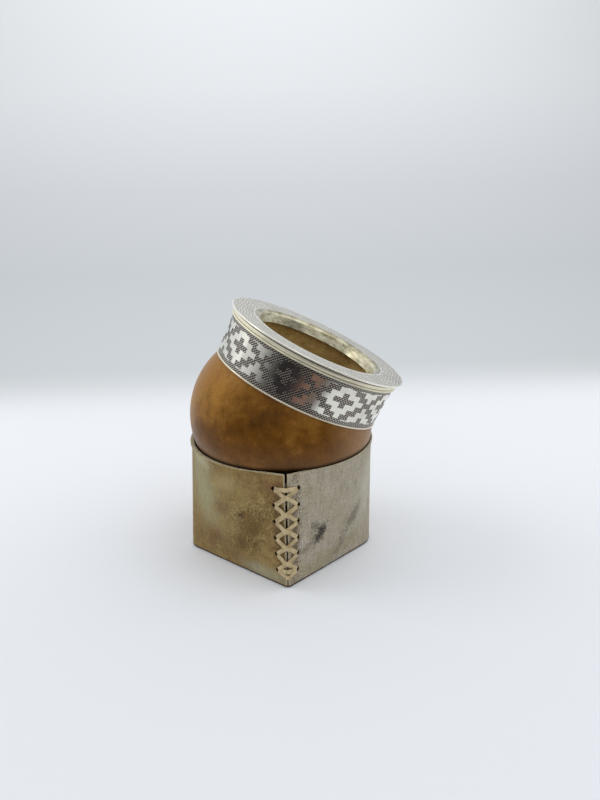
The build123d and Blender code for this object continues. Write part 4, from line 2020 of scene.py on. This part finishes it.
@dataclass
class Studio:
    """Pale paper sweep, soft light and the camera."""

    paper: Colour = srgb(242, 244, 247)
    camera_place: Spot = (-15.5, -479.8, 256.6)
    target: Spot = (0.0, 0.0, 50.0)
    camera_heading: float = -2.93
    camera_dip: float = 20.9
    camera_roll: float = -0.9
    lens: float = 49.5
    key_place: Spot = (-760, 160, 900)
    key_size: float = 560.0
    fill_place: Spot = (520, -40, 950)
    fill_size: float = 760.0
    lamp_power: float = 1.6
    glow_height: float = 260.0
    falloff_reach: float = 215.0
    falloff_end: float = 320.0
    glossy_glow: float = 1.22
    sweep_half: float = 1600.0
    sweep_start: float = 150.0
    sweep_rise: float = 110.0
    wall_place: float = 235.0

    def build(self) -> None:
        """Makes the floor, the world, the lamps and the camera."""
        self.build_sweep()
        self.build_world()
        self.build_lamp("key_lamp", self.key_place, self.key_size)
        self.build_lamp("fill_lamp", self.fill_place, self.fill_size)
        self.build_camera()
        bpy.context.scene.view_settings.view_transform = "Standard"

    def build_sweep(self) -> None:
        """Makes the paper: a floor that curves up into a wall behind the object."""
        start, rise = self.sweep_start, self.sweep_rise
        profile = [(-self.sweep_half, 0.0)] + line((-1200, 0), (start, 0), 12)
        profile += arc((start, rise), (self.wall_place - start, rise), -90, 0, 24)[1:]
        profile += [(self.wall_place, 300.0), (self.wall_place, 900.0)]
        across = np.linspace(-self.sweep_half, self.sweep_half, 9)
        points = [(x, y, z) for y, z in profile for x in across]
        faces = grid_faces(len(profile), len(across))
        floor = new_object("paper_sweep", np.array(points), faces)
        smooth_faces(floor, 180)
        floor.data.materials.append(self.paper_material())
        if floor.data.polygons[0].normal.z < 0:
            floor.data.flip_normals()

    def paper_material(self) -> bpy.types.Material:
        """Makes the paper's material, whose wall is seen but neither lit nor shadowed.

        Returns:
            The material.
        """
        made = bpy.data.materials.new("paper")
        graph = Graph.on(made)
        across, depth, height = graph.split(graph.coordinates())
        path = graph.add("ShaderNodeLightPath")
        seen = path["Is Camera Ray"].of("MAXIMUM", path["Is Glossy Ray"])
        seen = seen.of("MAXIMUM", path["Is Transmission Ray"])
        shade = graph.ramp(
            height / self.glow_height,
            (0.0, srgb(234, 238, 242)),
            (0.08, srgb(208, 213, 217)),
            (0.3, srgb(203, 208, 213)),
            (0.5, srgb(212, 216, 221)),
            (0.75, srgb(231, 234, 238)),
            (1.0, srgb(240, 243, 247)),
        )
        rise = 0.06 + graph.step(height, 60, 300) * 0.18
        reach = abs(across).of("MINIMUM", self.falloff_end) / self.falloff_reach
        falloff = 1 - reach**2 * rise
        shade = graph.tint(shade, falloff + path["Is Glossy Ray"] * (self.glossy_glow - falloff))
        # Painted light: the floor grows lighter towards the back.
        sheet = graph.mix(graph.step(depth, -120, 130), self.paper, srgb(251, 252, 254))
        plain = graph.add("ShaderNodeBsdfDiffuse", None, {"Color": sheet})[0]
        # Painted reflection: only glossy rays see the front of the floor, as a dim glow for the
        # dark room and camera side.
        near = graph.mix(graph.step(depth, -270, -350), srgb(92, 84, 78), srgb(130, 100, 90))
        room = graph.mix(graph.step(depth, -440, -600), near, srgb(34, 34, 42))
        dim = graph.add("ShaderNodeEmission", None, {"Color": room})[0]
        front = graph.step(depth, -185, -250) * path["Is Glossy Ray"]
        paper = graph.mix_shaders(front, plain, dim)
        glow = graph.add("ShaderNodeEmission", None, {"Color": shade})[0]
        clear = graph.add("ShaderNodeBsdfTransparent")[0]
        wall = graph.step(height, 0.0, 16.0)
        back = graph.add("ShaderNodeNewGeometry")["Backfacing"]
        sweep = graph.mix_shaders(wall, paper, graph.mix_shaders(seen, clear, glow))
        shown = graph.mix_shaders(back, sweep, clear)
        graph.add("ShaderNodeOutputMaterial", None, {"Surface": shown})
        return made

    def build_world(self) -> None:
        """Makes an even pale surround, with a dim patch in front that only gloss shows."""
        world = bpy.data.worlds.new("surround")
        bpy.context.scene.world = world
        graph = Graph.on(world)
        way = graph.add("ShaderNodeTexCoord")["Generated"]
        _, y, z = graph.split(way)
        path = graph.add("ShaderNodeLightPath")
        front = graph.step(y, 0.0, -0.78) * graph.step(z, 0.36, 0.16)
        dim = graph.mix(front * path["Is Glossy Ray"], srgb(236, 239, 243), srgb(34, 32, 34))
        glow = graph.add("ShaderNodeBackground", None, {"Color": dim, "Strength": 0.86})[0]
        graph.add("ShaderNodeOutputWorld", None, {"Surface": glow})

    def build_lamp(self, name: str, place: Spot, size: float) -> None:
        """Makes a large soft lamp that points at the object.

        Args:
            name: The lamp's name.
            place: Its place in millimetres.
            size: Its width in millimetres.
        """
        lamp = bpy.data.lights.new(name, "AREA")
        lamp.energy = self.lamp_power
        lamp.size = size * MM
        made = link(name, lamp)
        made.location = Vector(place) * MM
        aim = Vector(self.target) - Vector(place)
        made.rotation_euler = aim.to_track_quat("-Z", "Y").to_euler()

    def build_camera(self) -> None:
        """Makes the camera, level but for a slight roll, looking down on the cup."""
        camera = bpy.data.cameras.new("camera")
        camera.sensor_fit = "VERTICAL"
        camera.sensor_height = 36.0
        camera.sensor_width = 27.0
        camera.lens = self.lens
        camera.clip_start = 0.01
        made = link("camera", camera)
        heading = Matrix.Rotation(math.radians(self.camera_heading), 4, "Z")
        dip = Matrix.Rotation(math.radians(90 - self.camera_dip), 4, "X")
        roll = Matrix.Rotation(math.radians(self.camera_roll), 4, "Z")
        place = Matrix.Translation(Vector(self.camera_place) * MM)
        made.matrix_world = place @ heading @ dip @ roll
        bpy.context.scene.camera = made


def main() -> None:
    """Builds the cup, the stand, the lacing and the studio round the frame."""
    logging.basicConfig(level=logging.INFO, format="%(name)s: %(message)s")
    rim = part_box("stand_hide")[1].z / MM
    lean = Lean(rim + Stand.seat_drop)
    Gourd(lean, rim).build()
    Collar(lean).build()
    stand = Stand(lean, height=rim)
    stand.build()
    Lacing(stand).build()
    Studio().build()


if __name__ == "__main__":
    main()
